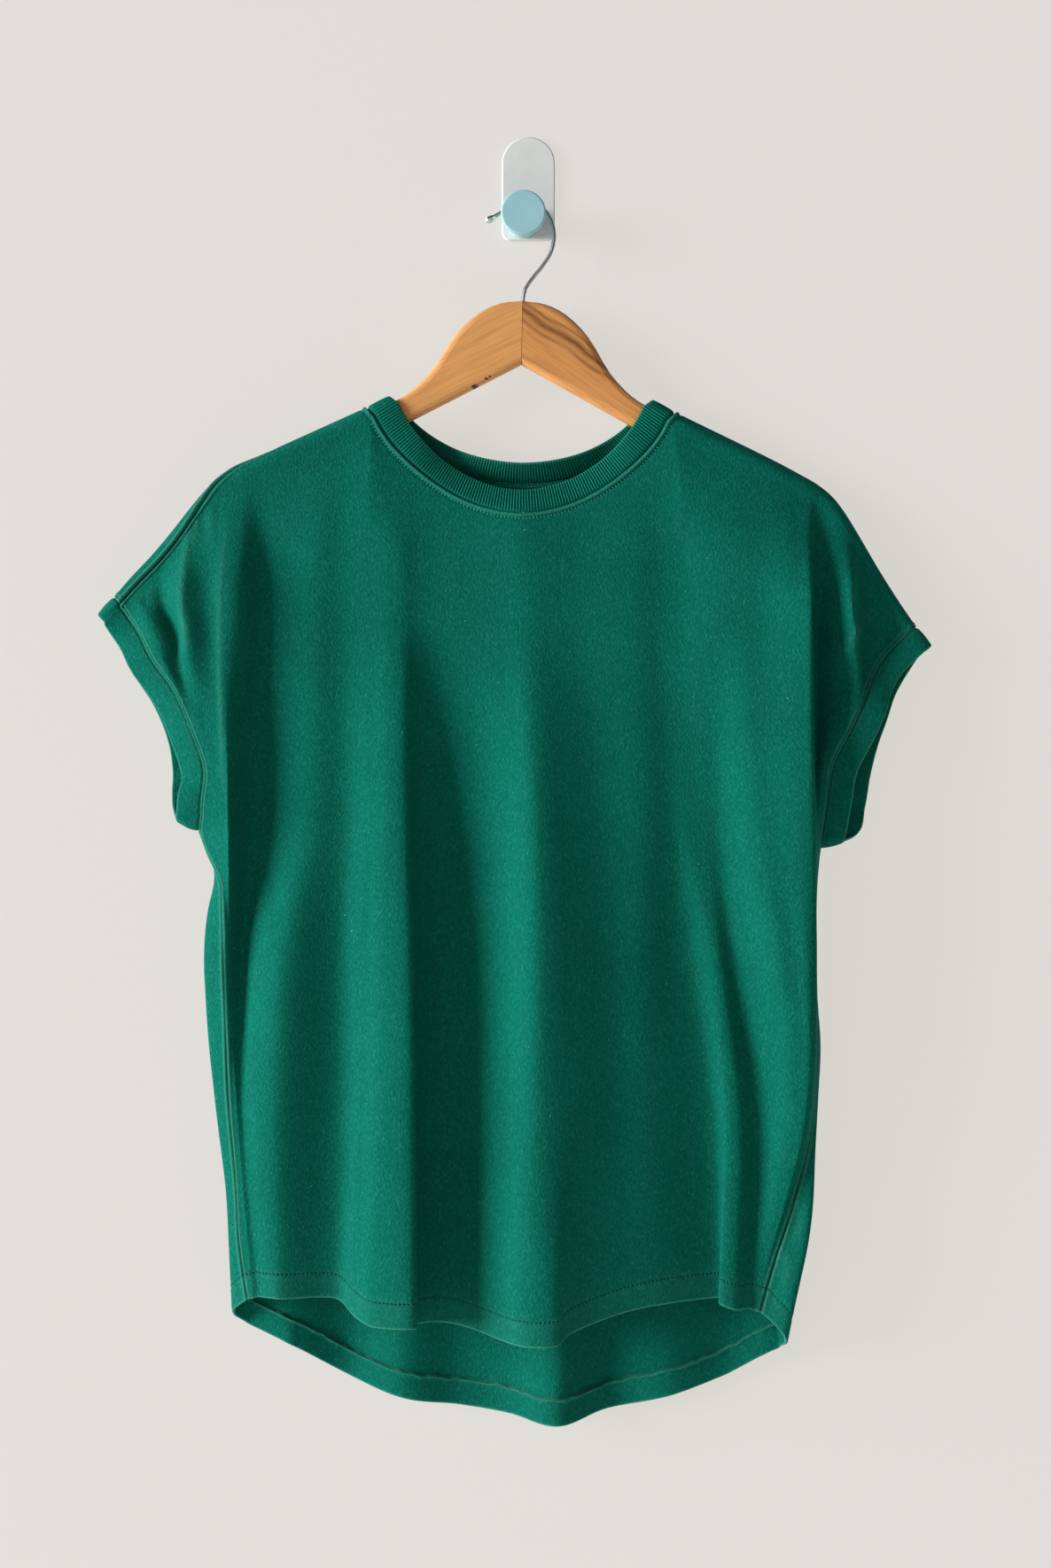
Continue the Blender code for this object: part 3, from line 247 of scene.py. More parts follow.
SOFTEN_FROM = 10.0
CUFF_ROWS = (0, 0.4, 0.9, 1.6, 2.6, 4, 6, 8, 10, 12, 13.8, 15, 15.8, 16.4, 16.8, 17)
BAND_ROWS = (0, 0.03, 0.07, 0.12, 0.2, 0.3, 0.42, 0.54, 0.66, 0.77, 0.86, 0.92, 0.96, 0.985, 1)

# Neckband: a 1x1 rib, lower near its seam
RIB_PITCH = 2.1
RIB_HEIGHT = 0.38
SAMPLES_PER_RIB = 5
RIB_AT_SEAM = 0.35
RIB_GROWTH = 2.5

# How far the bands swell between seam and edge, and how faded their edges and ribs are
BAND_SWELL = 0.45
CUFF_SWELL = 0.75
SWELL_POWER = 0.7
BAND_FADE = 0.5
BAND_FADE_WIDTH = 1.0
RIB_FADE = 0.16
CUFF_FADE = 0.75
CUFF_FADE_WIDTH = 0.8
CUFF_SEAM_FADE = 0.2
CUFF_SEAM_FADE_PLACE = 1.4

# Seams: how deep and wide the line between two pieces sinks, and how near it all is smooth
SEAM_DEPTH = 1.0
SEAM_REACH = 0.9
SEAM_CALM = 0.7
# The left shoulder seam lies open on the front: how deep and wide, how far out it begins and
# over what length it opens, and how much prouder the edge of front and back is there
OPEN_SEAM_DEPTH = 1.0
OPEN_SEAM_REACH = 1.3
OPEN_SEAM_FROM = 125.0
OPEN_SEAM_LENGTH = 50.0
OPEN_SEAM_PROUD = {1: 0.1, -1: 0.9}

# Where the stitches lie, as distances from their seams
NECK_RIDGE = 2.0
NECK_STITCH = 4.3
SHOULDER_STITCH = 4.4
CUFF_STITCH = 2.25

# Turned edges stand up beside the seams and stitches sink in: the seam, the distance from it,
# how wide and high that is, and how wide and how much it is faded
Ridge = namedtuple("Ridge", "seam away width height fade_width fade")
SHOULDER_RIDGE = Ridge("shoulder", 2.4, 1.7, 0.6, 1.6, 0.25)
RIDGES = (
    SHOULDER_RIDGE,
    Ridge("shoulder", SHOULDER_STITCH, 0.7, -0.3, 1.0, 0.0),
    Ridge("side", 1.6, 1.3, 0.6, 1.2, 0.4),
    Ridge("collar", NECK_RIDGE, 1.6, 0.9, 1.0, 0.42),
    Ridge("collar", NECK_STITCH, 0.8, -0.6, 1.0, 0.0),
    Ridge("cuff", 1.1, 0.6, 0.6, 0.5, 0.45),
    Ridge("cuff", 3.4, 0.7, 0.6, 0.6, 0.45),
)

# Small waves of the cloth: their length, the seed of their draw, how high and how far they go.
# Each is a sum of waves whose lengths are these shares of its own.
WAVE_SHARES = (0.7, 1.5)
WAVE_PEAK = 1.5
Wave = namedtuple("Wave", "length seed high reach")
CLOTH_WAVES = {1: Wave(60.0, 4, 0.3, 30.0), -1: Wave(60.0, 2, 0.3, 30.0)}
CLOTH_WAVE_SLANT = 0.8
NECK_WAVES = Wave(6.0, 8, 0.12, 3.0)
STITCH_WAVES = Wave(9.0, 5, 0.2, 6.0)
HEM_WAVES = Wave(7.0, 6, 0.22, 8.0)
HEM_WAVE_SLANT = 0.3
CUFF_WAVES = Wave(12.0, 11, 0.18, 4.0)
CUFF_FOLDS = Wave(17.0, 15, 0.9, 9.0)
CUFF_FOLD_SLANT = 0.5
CUFF_FOLDS_FROM = 0.55
CUFF_FOLDS_GROWTH = 0.3

# The hem: the groove of its stitches, then the raw edge inside, a little past them, not quite
# straight and rolled, then how faded its edges are, and the step where its turn is joined
HEM_GROOVE = 0.35
GROOVE_WIDTH = 1.0
RAW_EDGE = 19.1
RAW_WAVES = Wave(11.0, 7, 0.7, None)
RAW_STEP = 0.8
RAW_ROLL = 1.5
RAW_ROLL_WIDTH = 0.9
RAW_FADE = 0.6
RAW_FADE_PLACE = 0.6
RAW_FADE_WIDTH = 0.8
HEM_FADE = {"outer": 0.95, "inner": 0.9}
EDGE_FADE_WIDTH = 0.9
TURN_FADE = 0.05
STITCH_FADE = 0.12
STITCH_FADE_REACH = 4.0
JOIN_X = -168.0
JOIN_REACH = 6.3
JOIN_SLOPE = 4.5
JOIN_HEIGHT = 0.8

# Stitches and the small puckers under them: along the line, across it, and high
Stitch = namedtuple("Stitch", "along across high pitch sink")
DASH = Stitch(1.7, 0.5, 0.34, 2.5, 0.02)
FINE_DASH = Stitch(1.3, 0.5, 0.26, 2.0, 0.02)
HEM_DASH = Stitch(1.0, 1.5, 0.36, 2.9, 0.0)
NECK_DASH = Stitch(0.9, 1.2, 0.34, 2.5, 0.0)
PUCKER = Stitch(1.6, 4.6, 1.1, 2.9, 0.12)
NECK_PUCKER = Stitch(1.0, 2.4, 0.8, 2.5, 0.1)

# A stitch's shape: sides round it, its rings as places and girths, and how low its ends lie
GRAIN_SIDES = 6
GRAIN_RINGS = ((-0.36, 0.75), (0.0, 1.0), (0.36, 0.75))
GRAIN_ENDS = -0.1

# Small creases: points as x and z, then how wide and how high each stands, and how faded it is
Crease = namedtuple("Crease", "points width height fade")
FRONT_CREASES = (
    Crease(((-209, -240), (-212, -262), (-214, -300), (-213, -360), (-211, -430)), 1.8, 0.6, 0.2),
    Crease(((-263, -285), (-258, -304), (-250, -329), (-243, -347)), 2.6, 1.3, 0.12),
    Crease(((-237, -238), (-239, -270), (-240, -300), (-236, -332)), 2.8, 1.3, 0.2),
    Crease(((-222, -228), (-221, -252)), 2.2, 0.9, 0.1),
    Crease(((-231, -236), (-233, -256)), 2.2, 0.8, 0.1),
    Crease(((-270, -291), (-264, -300)), 2.0, -1.2, 0.0),
    Crease(((243, -300), (226, -318), (214, -345)), 3.0, 1.1, 0.1),
    Crease(((247, -309), (232, -326)), 2.4, -0.9, 0.0),
    Crease(((-190, -470), (-176, -500), (-170, -540)), 6.0, -0.8, 0.0),
    Crease(((150, -480), (166, -520), (172, -580)), 6.0, 0.7, 0.0),
    Crease(((-150, -752), (-168, -748), (-186, -756)), 3.0, 0.5, 0.0),
    Crease(((96, -748), (112, -752), (126, -744)), 3.0, 0.5, 0.0),
    Crease(((-60, -772), (-40, -764), (-22, -770)), 2.6, 0.5, 0.0),
)
BACK_CREASES = (
    Crease(((170, -706), (186, -724), (182, -742)), 3.4, -1.3, 0.1),
    Crease(((166, -740), (180, -756), (178, -776)), 3.2, 1.1, 0.1),
    Crease(((120, -700), (100, -640), (96, -580)), 7.0, 0.9, 0.0),
    Crease(((-60, -240), (-50, -330), (-52, -420)), 7.0, 0.8, 0.0),
    Crease(((60, -250), (52, -350), (56, -460)), 7.0, 0.8, 0.0),
    Crease(((-226, -262), (-214, -300), (-206, -350)), 4.0, 1.4, 0.15),
    Crease(((222, -268), (210, -305), (204, -350)), 4.0, 1.4, 0.15),
)
# Lint on each side of the cloth: x and z, length, and turn in degrees
LINT = {
    ("front", "outer"): (
        (200, -406, 2.6, 60), (-123, -525, 1.7, 20), (-4, -229, 1.6, 110), (-2, -247, 1.3, 40),
        (-237, -260, 1.3, 80), (124, -268, 1.2, 10), (150, -297, 1.4, 75), (178, -365, 1.8, 140),
        (86, -194, 1.2, 30), (-44, -310, 1.2, 0), (-35, -396, 1.2, 65), (-87, -386, 1.1, 120),
        (-128, -512, 1.2, 15), (-205, -540, 1.1, 50), (118, -480, 1.3, 35), (96, -560, 1.2, 100),
        (14, -650, 1.2, 70), (-150, -700, 1.3, 25),
    ),
    ("back", "inner"): (
        (-177, -786, 1.6, 30), (-40, -828, 1.3, 80),
    ),
    ("back", "outer"): (
        (60, -300, 1.5, 40), (-90, -420, 1.4, 120), (20, -600, 1.3, 10), (-30, -720, 1.4, 60),
    ),
}
LINT_WIDTH = 0.32
LINT_HEIGHT = 0.3
LINT_LIFT = 0.15
LINT_TILT = 0.2

# The hanger's top edge and the notch under it, before it is tilted, and the line of glue
# between its halves: its share of their gap, and how far it is set in all round and at its ends
HANGER_TOP = (SHOULDER_CENTRE, -84.0)
HANGER_TILT = math.radians(1.1)
HANGER_THICKNESS = 11.0
NOTCH_TOP = -44.7
MITRE_GAP = 0.3
GLUE_SHARE = 0.9
GLUE_INSET = 0.9
GLUE_END = 0.8

# Each piece of cloth: its size when cut, as width and length in metres, and its flat area
Cut = namedtuple("Cut", "node slot width length area rests_on")
HANGER = ("hanger_left", "hanger_right")
PANELS = ("front_panel", "back_panel")
CUTS = {
    "front_panel": Cut("front", "green_jersey", 0.62, 0.74, 0.32, HANGER),
    "back_panel": Cut("back", "green_jersey", 0.62, 0.80, 0.33, HANGER),
    "rib_band": Cut("neckband", "green_rib", 0.54, 0.018, None, PANELS),
    "left_cuff": Cut("cuff_left", "green_jersey", 0.36, 0.017, None, PANELS),
    "right_cuff": Cut("cuff_right", "green_jersey", 0.33, 0.017, None, PANELS),
}

# Colours, in linear light: cloth has a deep, a pale and a faded one, wood a pale and a dark one
JERSEY = ((0.0003, 0.094, 0.062), (0.004, 0.170, 0.122), (0.065, 0.32, 0.225))
RIB = ((0.0006, 0.104, 0.068), (0.003, 0.162, 0.114), (0.05, 0.27, 0.19))
# Near-black stitch colour: painted shade, darker than the cloth, standing in for the shadow in the holes
# where stitches sink
PAINTED_SHADE_THREAD = (0.001, 0.030, 0.020)
SEWING_THREAD = (0.045, 0.31, 0.235)
LINT_COLOUR = (0.42, 0.66, 0.58)
SHEEN_TINT = (0.1, 0.9, 0.72)
LEFT_WOOD = ((0.77, 0.36, 0.115), (0.71, 0.31, 0.094))
RIGHT_WOOD = ((0.76, 0.34, 0.106), (0.62, 0.245, 0.066))
GLUE = ((0.30, 0.12, 0.035), (0.22, 0.08, 0.022))
WOOD_STREAK = (0.13, 0.035, 0.008)
WOOD_KNOT = (0.02, 0.007, 0.003)
WIRE = (0.62, 0.61, 0.60)
PLATE = (0.74, 0.75, 0.73)
PEG = (0.33, 0.59, 0.645)
WALL = (0.12, 0.12, 0.12)
WALL_LIGHT = (1.0, 0.96, 0.905)
FLOOR = (0.70, 0.69, 0.68)

# The grain's slope on each half, then its marks. A streak is its height across the grain,
# its half width and its depth of colour, and a knot is its x and z, and its radius.
LEFT_GRAIN = -0.483
RIGHT_GRAIN = 0.713
LEFT_KNOTS = ((-37.2, -144.6, 3.4), (-29.5, -139.0, 1.7), (-27.0, -137.5, 1.3))
RIGHT_STREAKS = ((-76.3, 4.2, 1.0), (-71.5, 2.0, 0.7), (-81.5, 2.5, 0.7))

# Wall and floor, with what they give off, and how far they reach
WALL_Y = 0.6
WALL_GLOW = 0.648
FLOOR_GLOW = 0.35
ROOM_WIDTH = 3000
ROOM_DEPTH = 4000
ROOM_TOP = 2200
ROOM_FLOOR = -1200

# Lights: place and size in metres, and power in watts
Lamp = namedtuple("Lamp", "name place size power colour")
LAMPS = (
    Lamp("window", (-9.5, -3.1, 0.9), (4.4, 5.0), 1830.0, (0.95, 0.985, 1.0)),
    Lamp("room", (-1.2, -3.6, 0.4), (2.4, 2.4), 8.0, (1.0, 0.95, 0.9)),
)
LAMP_TARGET = (0, 0, -0.42)
SKY = (1.0, 0.985, 0.97)
SKY_STRENGTH = 0.082
CAMERA_PLACE = (-0.002, -1.55, -0.423)
CAMERA_LENS = 50
CAMERA_SENSOR = 36


# Curves through a few values

def ease(value):
    value = np.clip(value, 0, 1)
    return value * value * (3 - 2 * value)


def mix(start, end, share):
    return start + (end - start) * share


def through(knots, values, at):
    """A smooth curve through values at rising knots, level beyond both ends."""
    knots = np.asarray(knots, float)
    values = np.asarray(values, float)
    slopes = np.gradient(values, knots)
    at = np.clip(at, knots[0], knots[-1])
    k = np.clip(np.searchsorted(knots, at, side="right") - 1, 0, len(knots) - 2)
    step = knots[k + 1] - knots[k]
    t = (at - knots[k]) / step
    return (values[k] * (1 + 2 * t) * (1 - t) ** 2 + values[k + 1] * t * t * (3 - 2 * t)
            + step * (slopes[k] * t * (1 - t) ** 2 - slopes[k + 1] * t * t * (1 - t)))


def down(heights, values, z):
    """The same curve through values at falling heights."""
    return through([-height for height in heights], values, -z)


# The cloth's surface

def side_of(x):
    return "left" if x < SHOULDER_CENTRE else "right"


def shoulder_height(x):
    xs, heights = zip(*SHOULDER_LINE)
    return float(through(xs, heights, x))


def shoulder_angle(x):
    """How steeply the shoulder line falls, less and less toward the middle."""
    angle = math.atan(abs(shoulder_height(x + 1) - shoulder_height(x - 1)) / 2)
    return angle * float(ease(abs(x - SHOULDER_CENTRE) / NECK_EDGE.reach))


def past_hanger(x):
    """0 over the hanger, rising to 1 on the sleeves."""
    return float(ease((abs(x - SHOULDER_CENTRE) - PAST_HANGER_FROM) / PAST_HANGER_LENGTH))


def roll_radius(x):
    return mix(ROLL_RADIUS, SLEEVE_ROLL_RADIUS, past_hanger(x))


def roll_depth(x):
    return ROLL_DEPTH + SLEEVE_FORWARD * past_hanger(x)


def over_roll(run, x):
    """Where a column from x on the shoulder line has come to, run past the line.

    The roll is square to the line. Past it the cloth hangs straight down.
    """
    radius = roll_radius(x)
    angle = shoulder_angle(x)
    turned = np.clip(run / radius, -math.pi / 2, math.pi / 2)
    sunk = radius * (1 - np.cos(turned))
    straight = np.maximum(np.abs(run) - radius * math.pi / 2, 0)
    inward = math.copysign(1, SHOULDER_CENTRE - x)
    z = shoulder_height(x) - sunk * math.cos(angle) - straight
    return x + inward * sunk * math.sin(angle), radius * np.sin(turned), z


def run_to(z, x):
    """Run past the shoulder line at which a column reaches height z."""
    radius = roll_radius(x)
    return shoulder_height(x) - z + radius * (math.pi / 2 - math.cos(shoulder_angle(x)))


def seam_run(x):
    """Where the shoulder seam crosses the roll."""
    out = abs(x - SHOULDER_CENTRE)
    share = ease((out - SEAM_DRIFT_START) / (SEAM_DRIFT_END - SEAM_DRIFT_START))
    return SEAM_RUN[side_of(x)] * float(share)


def neckline(angle, neck, facing):
    """X and run of a point round the neck: 0 degrees at the left shoulder, 180 at the right."""
    turn = math.radians(angle)
    power = NECK_POWER[facing]
    across = -math.copysign(abs(math.cos(turn)) ** power, math.cos(turn))
    x = NECK_CENTRE + neck.reach * across
    start = shoulder_height(NECK_CENTRE - neck.reach)
    end = shoulder_height(NECK_CENTRE + neck.reach)
    level = mix(start, end, (across + 1) / 2)
    drop = neck.front if facing > 0 else neck.back
    return x, shoulder_height(x) - level + drop * abs(math.sin(turn)) ** power


def fold_line(fold):
    xs, depths = zip(fold.chest, fold.underarm, fold.midriff, fold.waist, fold.hip)
    return lambda z: (down(LEVELS, xs, z), down(LEVELS, depths, z))


def side_line(sections):
    heights, xs, depths = zip(*sections)
    return lambda z: (down(heights, xs, z), down(heights, depths, z))


def seam_line(side, facing):
    """A panel's edge: down the cuff's seam to the underarm, then down the side seam."""
    heights, front_xs, front_depths, back_xs, back_depths = zip(*CUFF_SEAM[side])
    xs, depths = (front_xs, front_depths) if facing > 0 else (back_xs, back_depths)
    upper = side_line(zip(heights, xs, depths))
    lower = side_line(SIDE_SEAM[side])
    underarm = heights[-1]

    def line(z):
        above = z > underarm
        return tuple(np.where(above, u, v) for u, v in zip(upper(z), lower(z)))
    return line


def sleeve_line(fold, start, end):
    """A fold between two other lines, by its share of the way across."""
    def line(z):
        share = down(SLEEVE_LEVELS, fold.share, z)
        rise = down(SLEEVE_LEVELS, fold.rise, z)
        start_x, start_depth = start(z)
        end_x, end_depth = end(z)
        return mix(start_x, end_x, share), mix(start_depth, end_depth, share) + rise
    return line


Line = namedtuple("Line", "at top hem")
Column = namedtuple("Column", "place x run")


def edge_line(side, facing):
    return Line(seam_line(side, facing), CUFF_TOP[side], SEAM_HEM[side])


def turn_line(side):
    return Line(side_line(TURN[side]), TURN_TOP[side], TURN_HEM[side])


def fold_lines(folds):
    return [Line(fold_line(fold), fold.top, fold.hem) for fold in folds]


def sleeve_lines(folds, start, end):
    lines = []
    for fold in folds:
        share = max(fold.share[0], LEAST_TOP_SHARE)
        lines.append(Line(sleeve_line(fold, start.at, end.at), mix(start.top, end.top, share),
                          mix(start.hem, end.hem, share)))
    return lines


def front_lines():
    """Fold lines of the front, from its left edge to its right edge."""
    left, right = edge_line("left", 1), edge_line("right", 1)
    folds = fold_lines(FRONT_LEFT + FRONT_NECK + FRONT_RIGHT)
    return ([left] + sleeve_lines(LEFT_SLEEVE, left, folds[0]) + folds
            + sleeve_lines(RIGHT_SLEEVE, folds[-1], right) + [right])


def back_lines():
    """Fold lines of the back, in the same order."""
    return ([edge_line("left", -1), turn_line("left")]
            + fold_lines(BACK_LEFT + BACK_NECK + BACK_RIGHT)
            + [turn_line("right"), edge_line("right", -1)])


def spread(values, widest):
    """Values with more of them spaced evenly inside the wide intervals."""
    result = []
    for start, end in zip(values, values[1:]):
        count = math.ceil(abs(end - start) / widest)
        result += [mix(start, end, n / count) for n in range(count)]
    return result + [values[-1]]


def neck_column(angle, folds, first, facing):
    """The column from an angle round the neckline, where first is its first fold's place."""
    starts = [fold.top for fold in folds] + [180]
    place = first + np.interp(angle, starts, range(len(starts)))
    x, run = neckline(angle, NECKLINE, facing)
    return Column(float(place), x, run)


def shoulder_columns(tops, at, first, facing):
    """Columns from places along a shoulder, between fold lines with these tops."""
    places = first + np.interp(at, tops, range(len(tops)))
    return [Column(float(place), x, facing * seam_run(x)) for place, x in zip(places, at)]


def section_point(lines, place, z):
    """X and depth on the smooth section through the fold lines at height z."""
    k = min(int(place), len(lines) - 2)
    t = place - k
    near = [np.stack(lines[i].at(z)) for i in (k, k + 1)]
    before = np.stack(lines[k - 1].at(z)) if k > 0 else 2 * near[0] - near[1]
    after = np.stack(lines[k + 2].at(z)) if k + 2 < len(lines) else 2 * near[1] - near[0]
    points = [before, near[0], near[1], after]
    steps = [end - start for start, end in zip(points, points[1:])]
    gaps = [np.sqrt(np.maximum(np.hypot(*step), 0.01)) for step in steps]
    slopes = [step / gap for step, gap in zip(steps, gaps)]
    across = [(points[n + 2] - points[n]) / (gaps[n] + gaps[n + 1]) for n in (0, 1)]
    leave = gaps[1] * (slopes[0] - across[0] + slopes[1])
    arrive = gaps[1] * (slopes[1] - across[1] + slopes[2])
    return (points[1] * (1 + 2 * t) * (1 - t) ** 2 + points[2] * t * t * (3 - 2 * t)
            + leave * t * (1 - t) ** 2 - arrive * t * t * (1 - t))


def hem_height(lines, place):
    return float(through(range(len(lines)), [line.hem for line in lines], place))


def unit(vectors):
    return vectors / np.maximum(np.linalg.norm(vectors, axis=-1, keepdims=True), 1e-9)


def neckband_edge(seam, angle, facing):
    """The band's free edge, level with the cloth over the roll and leaning in below it."""
    plain = over_roll(np.array([neckline(angle, NECKLINE, facing)[1]]), seam[0])[1][0]
    x, run = neckline(angle, NECK_EDGE, facing)
    edge_x, out, z = over_roll(np.array([run]), x)
    lean = NECKBAND_LEAN[facing] * float(ease((LEAN_FROM - seam[2]) / LEAN_DROP))
    forward = facing * (out[0] - plain - lean)
    return np.array([edge_x[0], seam[1] - forward, z[0]])


# Panels on the fine grid

Panel = namedtuple(
    "Panel", "name facing lines folds first grid normals runs across spans angles")


def fine_runs(column, underarm, hem):
    """Runs of a column's points, close together at the top and at the turned hem."""
    start, middle, end = column.run, run_to(underarm, column.x), run_to(hem, column.x)
    turn = end - HEM_TURN
    upper = mix(start + TOP_END, middle, UPPER_SHARES)
    lower = mix(middle, turn + HEM_ROWS[0], LOWER_SHARES)
    return np.concatenate([start + np.array(TOP_ROWS), upper, lower, turn + np.array(HEM_ROWS[1:])])


def panel_grid(lines, columns, facing):
    """Points of a panel's outer side, with the run of each."""
    grid = []
    all_runs = []
    for column in columns:
        share = column.place / (len(lines) - 1)
        underarm = mix(UNDERARM["left"], UNDERARM["right"], share)
        runs = fine_runs(column, underarm, hem_height(lines, column.place))
        plain_x, out, z = over_roll(runs, column.x)
        x, depth = section_point(lines, column.place, z)
        growth = mix(CHEST_GROWTH, SLEEVE_GROWTH, past_hanger(column.x))
        start = FOLD_START + FOLD_START_SHARE * max(column.run, 0)
        grown = ease((runs - start) / growth)
        drifted = ease((runs - column.run) / DRIFT_LENGTH)
        x = x + (plain_x - x[0]) * (1 - drifted)
        plain = roll_depth(column.x) + facing * roll_radius(column.x)
        depth = roll_depth(column.x) + facing * out + (depth - plain) * grown
        grid.append(np.stack([x, -depth, z], axis=1))
        all_runs.append(runs)
    return np.stack(grid, axis=1), np.stack(all_runs, axis=1)


def soften(grid, runs):
    """Round the small changes of direction at the fold lines, but not at the seams."""
    share = ease((runs - runs[:1]) / SOFTEN_FROM)[:, 1:-1, None] * 0.5
    for _ in range(SOFTEN_ROUNDS):
        middle = (grid[:, :-2] + grid[:, 2:]) / 2
        grid[:, 1:-1] += (middle - grid[:, 1:-1]) * share
    return grid


def grid_normals(grid, closed, turn):
    """Outward unit normals, where turn is 1 if rows by columns face outward."""
    if closed:
        across = np.roll(grid, -1, axis=1) - np.roll(grid, 1, axis=1)
    else:
        across = np.gradient(grid, axis=1)
    along = np.gradient(grid, axis=0)
    return turn * unit(np.cross(unit(along), unit(across)))


def lengths_along(points, axis):
    """Distances along a grid's rows or columns, from their first point."""
    steps = np.linalg.norm(np.diff(points, axis=axis), axis=-1)
    start = np.zeros_like(np.take(steps, [0], axis=axis))
    return np.concatenate([start, np.cumsum(steps, axis=axis)], axis=axis)


def seamed(tops):
    """Places along a shoulder, close together beside the seams at both its ends."""
    start, end = tops[0] + EDGE_STEPS[-1], tops[-1] - EDGE_STEPS[-1]
    middle = [x for x in tops if start + 1 < x < end - 1]
    return ([tops[0] + step for step in EDGE_STEPS[:-1]]
            + spread([start] + middle + [end], SHOULDER_STEP)
            + [tops[-1] - step for step in EDGE_STEPS[-2::-1]])


def sampled(at, places, values):
    """Points or directions at some places, between those known at rising places."""
    return np.stack([np.interp(at, places, values[:, n]) for n in range(3)], axis=-1)


def make_panels():
    """Front and back on the fine grid."""
    front, back = front_lines(), back_lines()
    corners = [NECK_CENTRE - NECKLINE.reach, NECK_CENTRE + NECKLINE.reach]
    panels = []
    for name, facing, lines, folds, first in (
            ("front", 1, front, FRONT_NECK, 1 + len(LEFT_SLEEVE) + len(FRONT_LEFT)),
            ("back", -1, back, BACK_NECK, 2 + len(BACK_LEFT))):
        last = first + len(folds)
        left_tops = [line.top for line in lines[:first]] + [corners[0]]
        right_tops = [corners[1]] + [line.top for line in lines[last + 1:]]
        if facing > 0:
            left_at = seamed(left_tops)[:-1]
            right_at = seamed(right_tops)[1:]
        angles = spread([fold.top for fold in folds] + [180], NECK_STEP)
        columns = (shoulder_columns(left_tops, left_at, 0, facing)
                   + [neck_column(angle, folds, first, facing) for angle in angles]
                   + shoulder_columns(right_tops, right_at, last, facing))
        grid, runs = panel_grid(lines, columns, facing)
        grid = soften(grid, runs)
        span = (len(left_at), len(left_at) + len(angles) - 1)
        panels.append(Panel(name, facing, lines, folds, first, grid, grid_normals(grid, False, facing),
                            runs, lengths_along(grid, 1), span, angles))
    share_seam_normals(panels)
    return panels


def share_seam_normals(panels):
    """Front and back take one normal where they meet, so that their edges match."""
    front, back = panels
    last = front.grid.shape[1] - 1
    for rows, front_columns, back_columns in (
            (slice(None), 0, 0), (slice(None), last, back.grid.shape[1] - 1),
            (0, slice(0, front.spans[0] + 1), slice(0, back.spans[0] + 1)),
            (0, slice(front.spans[1], None), slice(back.spans[1], None))):
        shared = unit(front.normals[rows, front_columns] + back.normals[rows, back_columns])
        front.normals[rows, front_columns] = shared
        back.normals[rows, back_columns] = shared


# Reliefs on the cloth

def bell(distance, width):
    return np.exp(-(distance / width) ** 2)


def waves(u, v, length, seed, count=7):
    """Smooth random waves of about one length, from -1 to 1."""
    source = np.random.default_rng(seed)
    total = 0.0
    for _ in range(count):
        turn = source.uniform(0, 2 * math.pi)
        scale = 2 * math.pi / (length * source.uniform(*WAVE_SHARES))
        at = scale * (u * math.cos(turn) + v * math.sin(turn))
        total = total + np.sin(at + source.uniform(0, 2 * math.pi))
    return total / math.sqrt(count) / WAVE_PEAK


def wave(kind, u, v):
    """Waves of a stated kind, as high as they stand."""
    return kind.high * waves(u, v, kind.length, kind.seed)


def crease_reliefs(x, z, creases):
    """How far creases raise the cloth and fade it: each is a line that tapers at both ends."""
    lift, fade = np.zeros_like(x), np.zeros_like(x)
    for crease in creases:
        points = np.array(crease.points, float)
        lengths = lengths_along(points, 0)
        nearest = np.full(x.shape, FAR)
        place = np.zeros_like(x)
        for k in range(len(points) - 1):
            start, step = points[k], points[k + 1] - points[k]
            past_x, past_z = x - start[0], z - start[1]
            share = np.clip((past_x * step[0] + past_z * step[1]) / (step @ step), 0, 1)
            distance = np.hypot(past_x - share * step[0], past_z - share * step[1])
            closer = distance < nearest
            nearest = np.where(closer, distance, nearest)
            along = mix(lengths[k], lengths[k + 1], share) / lengths[-1]
            place = np.where(closer, along, place)
        shape = bell(nearest, crease.width) * np.sqrt(np.clip(np.sin(math.pi * place), 0, 1))
        lift += crease.height * shape
        fade += crease.fade * shape
    return lift, fade


def distance_to(points, line):
    """Each point's distance to a line of points."""
    nearest = np.full(points.shape[:2], FAR)
    for start, step in zip(line, np.diff(line, axis=0)):
        away = points - start
        share = np.clip(away @ step / max(step @ step, 1e-9), 0, 1)
        nearest = np.minimum(nearest, np.linalg.norm(away - share[..., None] * step, axis=-1))
    return nearest


def seam_distances(panel):
    """Distances of a panel's points to each kind of seam, by name."""
    grid = panel.grid
    first, last = panel.spans
    collar, cuff, side = (np.full(grid.shape[:2], FAR) for _ in range(3))
    near = (slice(0, NEAR_ROWS), slice(first - NEAR_ROWS, last + NEAR_ROWS + 1))
    collar[near] = distance_to(grid[near], grid[0, first:last + 1])
    upper, lower = slice(0, UPPER_ROWS), slice(UPPER_ROWS - 1, None)
    for columns, edge in ((slice(0, NEAR_COLUMNS), 0), (slice(-NEAR_COLUMNS, None), -1)):
        cuff[upper, columns] = distance_to(grid[upper, columns], grid[upper, edge])
        side[lower, columns] = distance_to(grid[lower, columns], grid[lower, edge])
    shoulder = panel.runs - panel.runs[:1]
    shoulder[:, first:last + 1] = FAR
    return {"collar": collar, "cuff": cuff, "side": side, "shoulder": shoulder}


def rounded_edge(distance, wall):
    """How far each side of a wall draws in toward its middle near a rounded free edge."""
    radius = wall / 2
    inside = np.clip(1 - distance / radius, 0, 1)
    return radius * (1 - np.sqrt(1 - inside ** 2))


Relief = namedtuple("Relief", "outer inner fade inner_fade")


